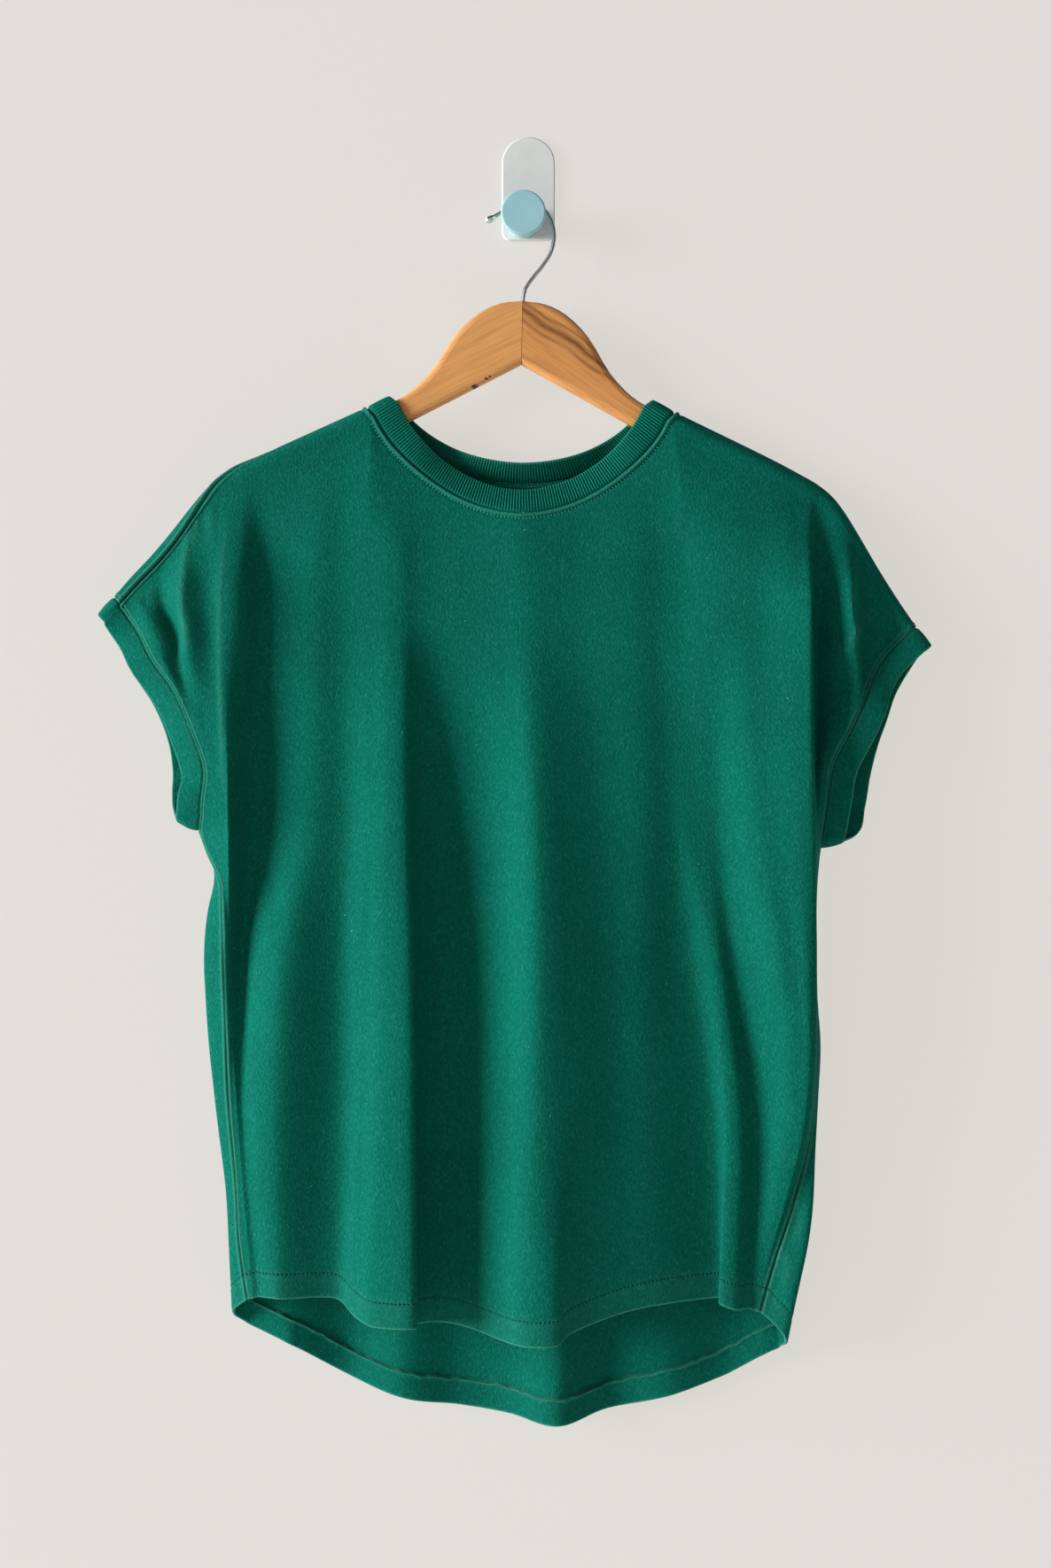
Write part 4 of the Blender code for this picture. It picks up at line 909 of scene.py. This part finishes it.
def panel_relief(panel):
    """Outer and inner side of a panel with its seams, turned hem and creases."""
    grid, runs, across = panel.grid, panel.runs, panel.across
    x, z = grid[..., 0], grid[..., 2]
    from_top = runs - runs[:1]
    from_hem = runs[-1:] - runs
    from_stitches = from_hem - HEM_TURN
    seams = seam_distances(panel)
    # On the left the shoulder seam lies on the front, open, with the back's edge proud above it
    open_seam = ease((SHOULDER_CENTRE - x - OPEN_SEAM_FROM) / OPEN_SEAM_LENGTH)
    proud = 1 + open_seam * OPEN_SEAM_PROUD[panel.facing]

    lift, fade = crease_reliefs(x, z, FRONT_CREASES if panel.facing > 0 else BACK_CREASES)
    for ridge in RIDGES:
        share = proud if ridge is SHOULDER_RIDGE else 1
        away = seams[ridge.seam] - ridge.away
        lift += share * ridge.height * bell(away, ridge.width)
        fade += share * ridge.fade * bell(away, ridge.fade_width)
    cloth = CLOTH_WAVES[panel.facing]
    stitches = wave(STITCH_WAVES, across, runs)
    lift += wave(cloth, x, z * CLOTH_WAVE_SLANT) * ease(from_top / cloth.reach)
    lift += wave(NECK_WAVES, across, from_top) * bell(seams["collar"] - NECK_STITCH, NECK_WAVES.reach)
    band = bell(from_hem - HEM_WAVES.reach, HEM_WAVES.reach)
    lift += wave(HEM_WAVES, across * HEM_WAVE_SLANT, runs) * band
    lift += stitches * bell(from_stitches, STITCH_WAVES.reach)
    lift -= HEM_GROOVE * bell(from_stitches, GROOVE_WIDTH)
    nearest = np.minimum.reduce(list(seams.values()))
    lift *= ease(nearest / SEAM_CALM)
    dip = SEAM_DEPTH * bell(nearest, SEAM_REACH)
    dip += OPEN_SEAM_DEPTH * open_seam * bell(seams["shoulder"], OPEN_SEAM_REACH)

    # The hem is turned in: two layers as far as the raw edge
    from_raw_edge = from_hem - RAW_EDGE - wave(RAW_WAVES, across, 0)
    turned = ease(0.5 - from_raw_edge / RAW_STEP)
    wall = mix(PANEL_WALL, TURNED_WALL, turned)
    wall += RAW_ROLL * bell(from_raw_edge + RAW_ROLL_WIDTH, RAW_ROLL_WIDTH)
    if panel.facing < 0:
        wall += JOIN_HEIGHT * turned * ease((JOIN_REACH - np.abs(x - JOIN_X)) / JOIN_SLOPE)
    edge = rounded_edge(from_hem, TURNED_WALL)
    outer = grid + panel.normals * (lift - dip - edge)[..., None]
    wall = np.maximum(wall - edge, dip + edge + THINNEST)
    inner = grid + panel.normals * (lift - wall)[..., None]

    rim = bell(from_hem, EDGE_FADE_WIDTH)
    inner_fade = HEM_FADE["inner"] * rim + RAW_FADE * bell(from_raw_edge + RAW_FADE_PLACE, RAW_FADE_WIDTH)
    fade += HEM_FADE["outer"] * rim + TURN_FADE * turned
    fade += STITCH_FADE / STITCH_WAVES.high * np.abs(stitches) * bell(from_stitches, STITCH_FADE_REACH)
    return Relief(outer, inner, np.clip(fade, 0, 1), np.clip(inner_fade, 0, 1))


# Bands

def neckband_half(panel):
    """Even steps along one panel's neck seam: the seam, the band's free edge, and the normals."""
    span = slice(panel.spans[0], panel.spans[1] + 1)
    lengths = lengths_along(panel.grid[0, span], 0)
    count = round(lengths[-1] / RIB_PITCH) * SAMPLES_PER_RIB
    angles = np.interp(np.linspace(0, lengths[-1], count + 1), lengths, panel.angles)
    columns = [neck_column(angle, panel.folds, panel.first, panel.facing) for angle in angles]
    points = panel_grid(panel.lines, columns, panel.facing)[0][0]
    edges = [neckband_edge(point, angle, panel.facing) for point, angle in zip(points, angles)]
    ups = unit(sampled(angles, panel.angles, panel.normals[0, span]))
    return [side[::panel.facing][:-1] for side in (points, np.array(edges), ups)]


def make_neckband(panels):
    """Outer and inner side of the ribbed band: round the front, then back round the back."""
    halves = [neckband_half(panel) for panel in panels]
    seam, edge, ups = (np.concatenate(pair) for pair in zip(*halves))
    share = np.array(BAND_ROWS)[:, None, None]
    grid = mix(seam, edge, share)
    normals = grid_normals(grid, True, -1)
    normals[0] = ups
    width = np.linalg.norm(edge - seam, axis=1)[None, :]
    from_seam = share[..., 0] * width
    ribs = np.cos(2 * math.pi * np.arange(len(seam)) / SAMPLES_PER_RIB)[None, :]
    ribs = ribs * mix(RIB_AT_SEAM, 1, ease(from_seam / RIB_GROWTH))
    swell = BAND_SWELL * np.sin(math.pi * share[..., 0]) ** SWELL_POWER
    fade = np.clip(BAND_FADE * bell(width - from_seam, BAND_FADE_WIDTH) + RIB_FADE * ribs, 0, 1)
    return band_relief(grid, normals, from_seam, width, swell, RIB_HEIGHT * ribs, BAND_WALL, fade)


def band_relief(grid, normals, from_seam, width, swell, rib, wall, fade):
    """Both sides of a folded band, which sinks at its seam and is round at its free edge."""
    dip = SEAM_DEPTH * bell(from_seam, SEAM_REACH)
    close = rounded_edge(width - from_seam, wall)
    outer = grid + normals * (swell + rib - dip - close)[..., None]
    inner = grid + normals * (swell - rib - np.maximum(wall - close, dip + THINNEST))[..., None]
    return Relief(outer, inner, fade, fade)


def make_cuff(panels, side):
    """Outer and inner side of a sleeve's folded band: down the front, then up the back."""
    column, outward = (0, -1) if side == "left" else (-1, 1)
    front, back = panels
    last = UPPER_ROWS - 1
    up = list(range(last - 1, 0, -1))
    seam = np.concatenate([front.grid[:last + 1, column], back.grid[up, column]])
    ups = np.concatenate([front.normals[:last + 1, column], back.normals[up, column]])
    runs = [panel.runs[:last + 1, column] for panel in panels]
    front_shares, back_shares = [(run - run[0]) / (run[-1] - run[0]) for run in runs]
    shares = np.concatenate([front_shares, back_shares[up]])
    turn = np.radians(through(CUFF_SHARES, CUFF_ANGLES[side], shares))
    spread_out = np.array([CUFF_FRONT_SPREAD[side]] * (last + 1) + [-CUFF_BACK_SPREAD] * len(up))
    lean = spread_out * np.sin(math.pi * shares)
    step = np.stack([outward * np.cos(turn), -lean / CUFF_WIDTH, -np.sin(turn)], axis=1)
    from_seam = np.array(CUFF_ROWS, float)[:, None]
    grid = seam + step * from_seam[..., None]
    normals = grid_normals(grid, True, -outward)
    normals[0] = ups
    along = lengths_along(seam, 0)[None, :]
    low = ease((shares - CUFF_FOLDS_FROM) / CUFF_FOLDS_GROWTH)[None, :]
    swell = CUFF_SWELL * np.sin(math.pi * from_seam / CUFF_WIDTH) ** SWELL_POWER
    swell = swell + wave(CUFF_WAVES, along, from_seam) * ease(from_seam / CUFF_WAVES.reach)
    folds = wave(CUFF_FOLDS, along, CUFF_FOLD_SLANT * from_seam)
    swell = swell + low * folds * ease(from_seam / CUFF_FOLDS.reach)
    fade = CUFF_FADE * bell(CUFF_WIDTH - from_seam, CUFF_FADE_WIDTH)
    fade += CUFF_SEAM_FADE * bell(from_seam - CUFF_SEAM_FADE_PLACE, CUFF_FADE_WIDTH)
    return band_relief(grid, normals, from_seam, CUFF_WIDTH, swell, 0, CUFF_WALL, fade)


# Meshes

def new_object(name, points, faces, material, smooth_angle=None):
    mesh = bpy.data.meshes.new(name)
    mesh.from_pydata([tuple(point) for point in np.asarray(points) * MM], [], faces)
    mesh.validate()
    item = bpy.data.objects.new(name, mesh)
    bpy.context.scene.collection.objects.link(item)
    mesh.materials.append(material)
    mesh.shade_smooth()
    if smooth_angle:
        mesh.set_sharp_from_angle(angle=math.radians(smooth_angle))
    return item


def add_shell(name, node, relief, closed, material):
    """A closed wall between an outer and an inner grid, with how faded it is on its points."""
    rows, columns = relief.outer.shape[:2]
    size = rows * columns
    points = np.concatenate([relief.outer.reshape(-1, 3), relief.inner.reshape(-1, 3)])
    k = np.arange(size).reshape(rows, columns)
    if closed:
        k = np.concatenate([k, k[:, :1]], axis=1)
    outer = np.stack([k[:-1, :-1], k[1:, :-1], k[1:, 1:], k[:-1, 1:]], axis=-1).reshape(-1, 4)
    faces = [outer, outer[:, ::-1] + size]
    rims = [(k[0, :-1], k[0, 1:]), (k[-1, 1:], k[-1, :-1])]
    if not closed:
        rims += [(k[1:, 0], k[:-1, 0]), (k[:-1, -1], k[1:, -1])]
    for start, end in rims:
        faces.append(np.stack([start, end, end + size, start + size], axis=-1))
    faces = np.concatenate(faces)
    corners = points[outer]
    facing = np.cross(corners[:, 1] - corners[:, 0], corners[:, 3] - corners[:, 0])
    away = (relief.outer - relief.inner).reshape(-1, 3)[outer[:, 0]]
    if np.sum(facing * away) < 0:
        faces = faces[:, ::-1]
    item = new_object(name, points, faces.tolist(), material, SHARP_ANGLE)
    fade = item.data.attributes.new("fade", "FLOAT", "POINT")
    fades = (relief.fade, relief.inner_fade)
    both = [np.broadcast_to(side, (rows, columns)).ravel() for side in fades]
    fade.data.foreach_set("value", np.concatenate(both).astype(np.float32))
    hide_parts(node)
    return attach(item, "root")


def lumps(centres, ups, alongs, sizes, template, faces):
    """Copies of a small shape: sizes are its length, width and height at each place."""
    sideways = np.cross(ups, alongs)
    points = (centres[:, None]
              + alongs[:, None] * (template[:, 0] * sizes[:, :1])[..., None]
              + sideways[:, None] * (template[:, 1] * sizes[:, 1:2])[..., None]
              + ups[:, None] * (template[:, 2] * sizes[:, 2:])[..., None])
    count = len(template)
    every = [[n * count + v for v in face] for n in range(len(centres)) for face in faces]
    return points.reshape(-1, 3), every


def grain():
    """A stitch: a rounded grain one long, one wide and one high."""
    points = [(-0.5, 0, GRAIN_ENDS)]
    for at, girth in GRAIN_RINGS:
        for turn in np.arange(GRAIN_SIDES) * 2 * math.pi / GRAIN_SIDES:
            points.append((at, math.cos(turn) * girth / 2, math.sin(turn) * girth / 2))
    points.append((0.5, 0, GRAIN_ENDS))
    steps = [(n, (n + 1) % GRAIN_SIDES) for n in range(GRAIN_SIDES)]
    faces = [(0, 1 + end, 1 + start) for start, end in steps]
    for ring in (1, 1 + GRAIN_SIDES):
        after = ring + GRAIN_SIDES
        faces += [(ring + start, ring + end, after + end, after + start) for start, end in steps]
    faces += [(after + start, after + end, len(points) - 1) for start, end in steps]
    return np.array(points), faces


def stitch_places(points, normals, pitch, start):
    """Even places along a line on the cloth, with the directions up and along there."""
    length = lengths_along(points, 0)
    at = np.arange(pitch * start, length[-1], pitch)
    ups = unit(sampled(at, length, normals))
    alongs = unit(sampled(at + 0.5, length, points) - sampled(at - 0.5, length, points))
    alongs = unit(alongs - ups * np.sum(alongs * ups, axis=1, keepdims=True))
    return sampled(at, length, points), ups, alongs


def add_stitches(name, lines, stitch, material, start_share=0.5):
    """One piece of many small grains: lines are pairs of points and normals."""
    template, faces = grain()
    all_points = []
    all_faces = []
    for points, normals in lines:
        places, ups, alongs = stitch_places(points, normals, stitch.pitch, start_share)
        sizes = np.tile([stitch.along, stitch.across, stitch.high], (len(places), 1))
        made, made_faces = lumps(places - ups * stitch.sink, ups, alongs, sizes, template, faces)
        start = sum(len(part) for part in all_points)
        all_points.append(made)
        all_faces += [[start + v for v in face] for face in made_faces]
    item = new_object(name, np.concatenate(all_points), all_faces, material)
    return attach(item, "root")


def add_lint(panels, reliefs, material):
    """Short pale fibres that lie on the cloth."""
    rows = []
    for (name, side), fibres in LINT.items():
        k = 0 if name == "front" else 1
        surface = getattr(reliefs[k], side)
        outward = 1 if side == "outer" else -1
        for x, z, length, turn in fibres:
            nearest = np.argmin(np.hypot(surface[..., 0] - x, surface[..., 2] - z))
            spot = surface.reshape(-1, 3)[nearest]
            up = panels[k].normals.reshape(-1, 3)[nearest] * outward
            turn = math.radians(turn)
            along = unit(np.cross(up, [math.sin(turn), LINT_TILT, -math.cos(turn)]))
            rows.append((spot + up * LINT_LIFT, up, along, (length, LINT_WIDTH, LINT_HEIGHT)))
    made, faces = lumps(*(np.array(column) for column in zip(*rows)), *grain())
    item = new_object("lint", made, faces, material)
    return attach(item, "root")


def add_mitre(material):
    """The dark line of glue between the hanger's halves: a thin plate, set in all round."""
    half = MITRE_GAP * GLUE_SHARE / 2
    deep = HANGER_THICKNESS / 2 - GLUE_INSET
    sine, cosine = math.sin(HANGER_TILT), math.cos(HANGER_TILT)
    turn = np.array([[cosine, sine], [-sine, cosine]])
    points = []
    for height in (-GLUE_END, NOTCH_TOP + GLUE_END):
        for across in (-half, half):
            x, z = turn @ np.array([across, height]) + HANGER_TOP
            points += [(x, -ROLL_DEPTH - deep, z), (x, -ROLL_DEPTH + deep, z)]
    faces = [(0, 2, 3, 1), (4, 5, 7, 6), (0, 4, 6, 2), (1, 3, 7, 5), (0, 1, 5, 4), (2, 6, 7, 3)]
    item = new_object("mitre_glue", points, faces, material, SHARP_ANGLE)
    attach(item, "root")


def sewn(wanted, distances, surface, normals, turn=1):
    """A line on the cloth, at one distance down each column, with the normals along it."""
    points, ups = (np.array([sampled(wanted, distances[:, k], grid[:, k]) for k in range(grid.shape[1])])
                   for grid in (surface, normals))
    return points, turn * unit(ups)


def sewing_lines(panels, reliefs):
    """Lines of stitches: round the neck, along shoulders, cuffs and hem, and inside the back."""
    lines = {"neck": [], "shoulder": [], "cuff": [], "hem": [], "inside": []}
    top = slice(0, NEAR_ROWS)
    for panel, relief in zip(panels, reliefs):
        seams = seam_distances(panel)
        first, last = panel.spans
        width = panel.grid.shape[1]
        neck = (top, slice(first, last + 1))
        far = np.maximum.accumulate(seams["collar"][neck], axis=0)
        lines["neck"].append(sewn(NECK_STITCH, far, relief.outer[neck], panel.normals[neck]))
        if panel.facing < 0:
            for wanted in (NECK_RIDGE, NECK_STITCH):
                lines["inside"].append(sewn(wanted, far, relief.inner[neck], panel.normals[neck], -1))
        for columns in (slice(2, first - 1), slice(last + 2, width - 2)):
            part = (top, columns)
            lines["shoulder"].append(sewn(
                SHOULDER_STITCH, seams["shoulder"][part], relief.outer[part], panel.normals[part]))
        part = (slice(UPPER_ROWS, None), slice(1, width - 1))
        past_hem = (panel.runs - panel.runs[-1:])[part]
        lines["hem"].append(sewn(-HEM_TURN, past_hem, relief.outer[part], panel.normals[part]))
        for columns in (slice(0, NEAR_COLUMNS), slice(None, -NEAR_COLUMNS - 1, -1)):
            part = (slice(2, UPPER_ROWS - 1), columns)
            far = np.maximum.accumulate(seams["cuff"][part].T, axis=0)
            surface, normals = (grid[part].swapaxes(0, 1) for grid in (relief.outer, panel.normals))
            lines["cuff"].append(sewn(CUFF_STITCH, far, surface, normals))
    return lines


# Looks

class Look:
    """A material, with short ways to add nodes to it."""

    def __init__(self, name, values):
        self.material = bpy.data.materials.new(name)
        self.material.use_nodes = True
        self.tree = self.material.node_tree
        self.shader = self.tree.nodes["Principled BSDF"]
        self.give(self.shader, values)

    def give(self, node, inputs):
        """Set a node's inputs, or link them where a value is another node's output."""
        for key, value in inputs.items():
            socket = node.inputs[key]
            if isinstance(value, bpy.types.NodeSocket):
                self.tree.links.new(value, socket)
            elif socket.type == "RGBA":
                socket.default_value = (*value, 1.0)
            else:
                socket.default_value = value

    def node(self, kind, inputs, output=0, **settings):
        """Add a node, and return its output."""
        node = self.tree.nodes.new(kind)
        for key, value in settings.items():
            setattr(node, key, value)
        self.give(node, inputs)
        return node.outputs[output]

    def place(self):
        return self.node("ShaderNodeTexCoord", {}, "Object")

    def turned(self, vector, scale, rotation=(0, 0, 0)):
        return self.node("ShaderNodeMapping", {"Vector": vector, "Scale": scale, "Rotation": rotation})

    def noise(self, vector, scale, detail=3.0, roughness=0.55):
        inputs = {"Vector": vector, "Scale": scale, "Detail": detail, "Roughness": roughness}
        return self.node("ShaderNodeTexNoise", inputs, "Fac")

    def math(self, operation, *values):
        return self.node("ShaderNodeMath", dict(enumerate(values)), operation=operation)

    def vector(self, operation, *values, output=0):
        inputs = dict(enumerate(values))
        return self.node("ShaderNodeVectorMath", inputs, output, operation=operation)

    def remap(self, value, low, high, start=0.0, end=1.0):
        """A value between start and end, taken to between low and high."""
        inputs = {"Value": value, "From Min": start, "From Max": end, "To Min": low, "To Max": high}
        return self.node("ShaderNodeMapRange", inputs)

    def ramp(self, value, stops):
        """A colour ramp from places and colours, where one number is a grey."""
        node = self.tree.nodes.new("ShaderNodeValToRGB")
        self.give(node, {"Fac": value})
        elements = node.color_ramp.elements
        while len(elements) < len(stops):
            elements.new(0.5)
        for element, (place, colour) in zip(elements, stops):
            element.position = place
            colour = colour if isinstance(colour, tuple) else (colour, colour, colour)
            element.color = (*colour, 1.0)
        return node.outputs["Color"]

    def blend(self, share, first, second, way="MIX"):
        inputs = {0: share, 6: first, 7: second}
        return self.node("ShaderNodeMix", inputs, 2, data_type="RGBA", blend_type=way)

    def times(self, colour, shade):
        return self.blend(1.0, colour, shade, "MULTIPLY")

    def raised(self, height, distance, strength=1.0, below=None):
        inputs = {"Height": height, "Distance": distance, "Strength": strength}
        if below is not None:
            inputs["Normal"] = below
        return self.node("ShaderNodeBump", inputs)


def cloth_material(name, deep, pale, faded, fleck_scale, fuzz):
    """Brushed cotton: flecked by its pilled face, cloudy from washing, paler where it is faded."""
    look = Look(name, {"Roughness": 0.92, "Specular IOR Level": 0.04, "Sheen Weight": 0.1,
                       "Sheen Roughness": 0.45, "Sheen Tint": SHEEN_TINT})
    place = look.place()
    slanted = look.turned(place, (1.0, 1.0, 0.6), (0, 0.7, 0))
    flecks = look.noise(slanted, fleck_scale, 3.0, 0.62)
    fine = look.noise(place, fleck_scale * 3.1, 2.0, 0.6)
    pills = look.noise(place, fleck_scale * 0.3, 3.0, 0.6)
    clouds = look.noise(place, 14.0, 4.0, 0.6)
    colour = look.blend(look.ramp(flecks, ((0.25, 0.0), (0.75, 1.0))), deep, pale)
    for value, low, high in ((fine, 0.86, 1.12), (pills, 0.95, 1.05), (clouds, 0.92, 1.06)):
        colour = look.times(colour, look.ramp(value, ((0.3, low), (0.7, high))))
    fade = look.node("ShaderNodeAttribute", {}, "Fac", attribute_name="fade", attribute_type="GEOMETRY")
    broken = look.math("MULTIPLY", fade, look.ramp(fine, ((0.25, 0.55), (0.6, 1.0))))
    rubbed = look.math("ADD", broken, look.ramp(flecks, ((0.56, 0.0), (0.75, 0.2))))
    bump = look.raised(flecks, 0.0008 * fuzz)
    bump = look.raised(fine, 0.0003 * fuzz, 0.8, bump)
    look.give(look.shader, {"Base Color": look.blend(rubbed, colour, faded), "Normal": bump})
    return look.material


def plain_cloth_material(name, colour):
    look = Look(name, {"Roughness": 0.9, "Specular IOR Level": 0.04})
    shade = look.ramp(look.noise(look.place(), 900.0, 2.0), ((0.3, 0.7), (0.7, 1.2)))
    look.give(look.shader, {"Base Color": look.times(colour, shade)})
    return look.material


def wood_material(name, pale, dark, slope, streaks=(), knots=()):
    """Lacquered wood: grain along a slope, dark streaks along it, and small knots."""
    look = Look(name, {"Roughness": 0.42, "Specular IOR Level": 0.4})
    place = look.place()
    turned = look.turned(place, (1, 1, 1), (0, -math.atan(slope), 0))
    bent = look.remap(look.noise(turned, 20.0, 2.0), -0.5, 0.5)
    across = look.node("ShaderNodeSeparateXYZ", {0: turned}, "Z")
    level = look.math("MULTIPLY_ADD", bent, 0.014, across)
    rings = look.math("SINE", look.math("MULTIPLY", level, 420.0))
    figure = look.noise(look.turned(turned, (9.0, 60.0, 90.0)), 3.2, 5.0, 0.62)
    fibre = look.noise(look.turned(turned, (16.0, 600.0, 600.0)), 1.6, 3.0, 0.6)
    middle = tuple(mix(np.array(dark), np.array(pale), 0.75))
    colour = look.ramp(figure, ((0.28, dark), (0.5, middle), (0.7, pale)))
    colour = look.times(colour, look.ramp(fibre, ((0.35, 0.88), (0.62, 1.05))))
    colour = look.times(colour, look.remap(rings, 1.0, 0.9, 0.55, 1.0))
    for height, width, depth in streaks:
        away = look.math("ABSOLUTE", look.math("SUBTRACT", level, height * MM))
        share = look.remap(away, depth, 0.0, 0.0, width * MM)
        share = look.math("MULTIPLY", share, look.ramp(figure, ((0.3, 1.0), (0.75, 0.5))))
        colour = look.blend(share, colour, WOOD_STREAK)
    for x, z, radius in knots:
        spot = look.vector("SUBTRACT", place, (x * MM, 0, z * MM))
        spot = look.vector("MULTIPLY", spot, (1.0, 0.0, 1.7))
        away = look.vector("LENGTH", spot, output="Value")
        share = look.remap(away, 0.95, 0.0, 0.5 * radius * MM, radius * MM)
        colour = look.blend(share, colour, WOOD_KNOT)
    look.give(look.shader, {"Base Color": colour, "Roughness": look.remap(fibre, 0.36, 0.56),
                            "Normal": look.raised(fibre, 0.00008, 0.5)})
    return look.material


def metal_material(name, colour):
    look = Look(name, {"Metallic": 1.0, "Base Color": colour})
    rough = look.remap(look.noise(look.place(), 260.0), 0.18, 0.38)
    look.give(look.shader, {"Roughness": rough})
    return look.material


def paint_material(name, colour, roughness):
    look = Look(name, {"Roughness": roughness})
    place = look.place()
    cloud = look.ramp(look.noise(place, 60.0), ((0.3, 0.96), (0.7, 1.03)))
    look.give(look.shader, {"Base Color": look.times(colour, cloud),
                            "Normal": look.raised(look.noise(place, 420.0, 2.0), 0.00005, 0.5)})
    return look.material


def backdrop_material(name, colour, glow):
    """Pale and matte in front, clear from behind, so that it never hides the object."""
    look = Look(name, {"Roughness": 0.9, "Specular IOR Level": 0.0, "Base Color": colour,
                       "Emission Color": WALL_LIGHT, "Emission Strength": glow})
    behind = look.node("ShaderNodeNewGeometry", {}, "Backfacing")
    clear = look.node("ShaderNodeBsdfTransparent", {})
    both = look.node("ShaderNodeMixShader", {0: behind, 1: look.shader.outputs["BSDF"], 2: clear})
    look.give(look.tree.nodes["Material Output"], {"Surface": both})
    return look.material


# Stage, light and camera

def add_plane(name, corners, material):
    new_object(name, corners, [(0, 1, 2, 3)], material)


def add_light(lamp):
    light = bpy.data.lights.new(lamp.name, "AREA")
    light.shape = "RECTANGLE"
    light.size, light.size_y = lamp.size
    light.energy = lamp.power
    light.color = lamp.colour
    item = bpy.data.objects.new(lamp.name, light)
    bpy.context.scene.collection.objects.link(item)
    item.location = lamp.place
    aim = Vector(LAMP_TARGET) - Vector(lamp.place)
    item.rotation_euler = aim.to_track_quat("-Z", "Y").to_euler()


def add_camera():
    camera = bpy.data.cameras.new("camera")
    camera.lens = CAMERA_LENS
    camera.sensor_width = CAMERA_SENSOR
    item = bpy.data.objects.new("camera", camera)
    bpy.context.scene.collection.objects.link(item)
    item.location = CAMERA_PLACE
    item.rotation_euler = (math.pi / 2, 0, 0)
    bpy.context.scene.camera = item


def make_stage():
    left, right, low, top = -ROOM_WIDTH, ROOM_WIDTH, ROOM_FLOOR, ROOM_TOP
    foot = [(left, WALL_Y, low), (right, WALL_Y, low)]
    wall = foot + [(right, WALL_Y, top), (left, WALL_Y, top)]
    floor = [(left, -ROOM_DEPTH, low), (right, -ROOM_DEPTH, low)] + foot[::-1]
    add_plane("backdrop", wall, backdrop_material("backdrop_wall", WALL, WALL_GLOW))
    add_plane("floor", floor, backdrop_material("backdrop_floor", FLOOR, FLOOR_GLOW))
    for lamp in LAMPS:
        add_light(lamp)
    world = bpy.data.worlds.new("pale")
    world.use_nodes = True
    background = world.node_tree.nodes["Background"]
    background.inputs["Color"].default_value = (*SKY, 1.0)
    background.inputs["Strength"].default_value = SKY_STRENGTH
    bpy.context.scene.world = world
    bpy.context.scene.view_settings.view_transform = "Standard"
    add_camera()


def make_cloth():
    """Panels and bands, then their stitches and lint."""
    jersey = cloth_material("brushed_jersey", *JERSEY, fleck_scale=760.0, fuzz=0.8)
    rib = cloth_material("cotton_rib", *RIB, fleck_scale=900.0, fuzz=0.35)
    # Stitch material in near-black: painted shade for the sunk stitch holes, not the thread's own colour
    painted_shade_thread = plain_cloth_material("painted_shade_thread", PAINTED_SHADE_THREAD)
    thread = plain_cloth_material("sewing_thread", SEWING_THREAD)
    lint = plain_cloth_material("lint", LINT_COLOUR)
    panels = make_panels()
    reliefs = [panel_relief(panel) for panel in panels]
    shapes = {"front_panel": reliefs[0], "back_panel": reliefs[1], "rib_band": make_neckband(panels),
              "left_cuff": make_cuff(panels, "left"), "right_cuff": make_cuff(panels, "right")}
    shells = []
    for name, relief in shapes.items():
        cut = CUTS[name]
        material = rib if name == "rib_band" else jersey
        shells.append(add_shell(name, cut.node, relief, name not in PANELS, material))
    for shell in shells:
        cut = CUTS[shell.name]
    lines = sewing_lines(panels, reliefs)
    add_stitches("neck_puckers", lines["neck"], NECK_PUCKER, thread, 1.0)
    add_stitches("hem_puckers", lines["hem"], PUCKER, jersey, 1.0)
    # Neck, hem and seam stitches take the near-black material: painted shade in the holes where the
    # stitches sink
    add_stitches("neck_stitches", lines["neck"], NECK_DASH, painted_shade_thread)
    add_stitches("hem_stitches", lines["hem"], HEM_DASH, painted_shade_thread)
    add_stitches("seam_stitches", lines["shoulder"] + lines["cuff"], FINE_DASH, painted_shade_thread)
    add_stitches("inner_stitches", lines["inside"], DASH, thread)
    add_lint(panels, reliefs, lint)


def make_holder():
    """Looks of the hanger, hook, plate and peg, and the glue between the hanger's halves."""
    add_mitre(wood_material("glue_line", *GLUE, slope=0.0))
    looks = {
        "hanger_left": wood_material("pale_wood", *LEFT_WOOD, LEFT_GRAIN, knots=LEFT_KNOTS),
        "hanger_right": wood_material("dark_wood", *RIGHT_WOOD, RIGHT_GRAIN, RIGHT_STREAKS),
        "hanger_hook": metal_material("bright_wire", WIRE),
        "wall_plate": paint_material("white_plate", PLATE, roughness=0.45),
        "peg": paint_material("blue_paint", PEG, roughness=0.4),
    }
    for node, material in looks.items():
        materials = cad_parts[node].data.materials
        materials.clear()
        materials.append(material)


make_cloth()
make_holder()
make_stage()
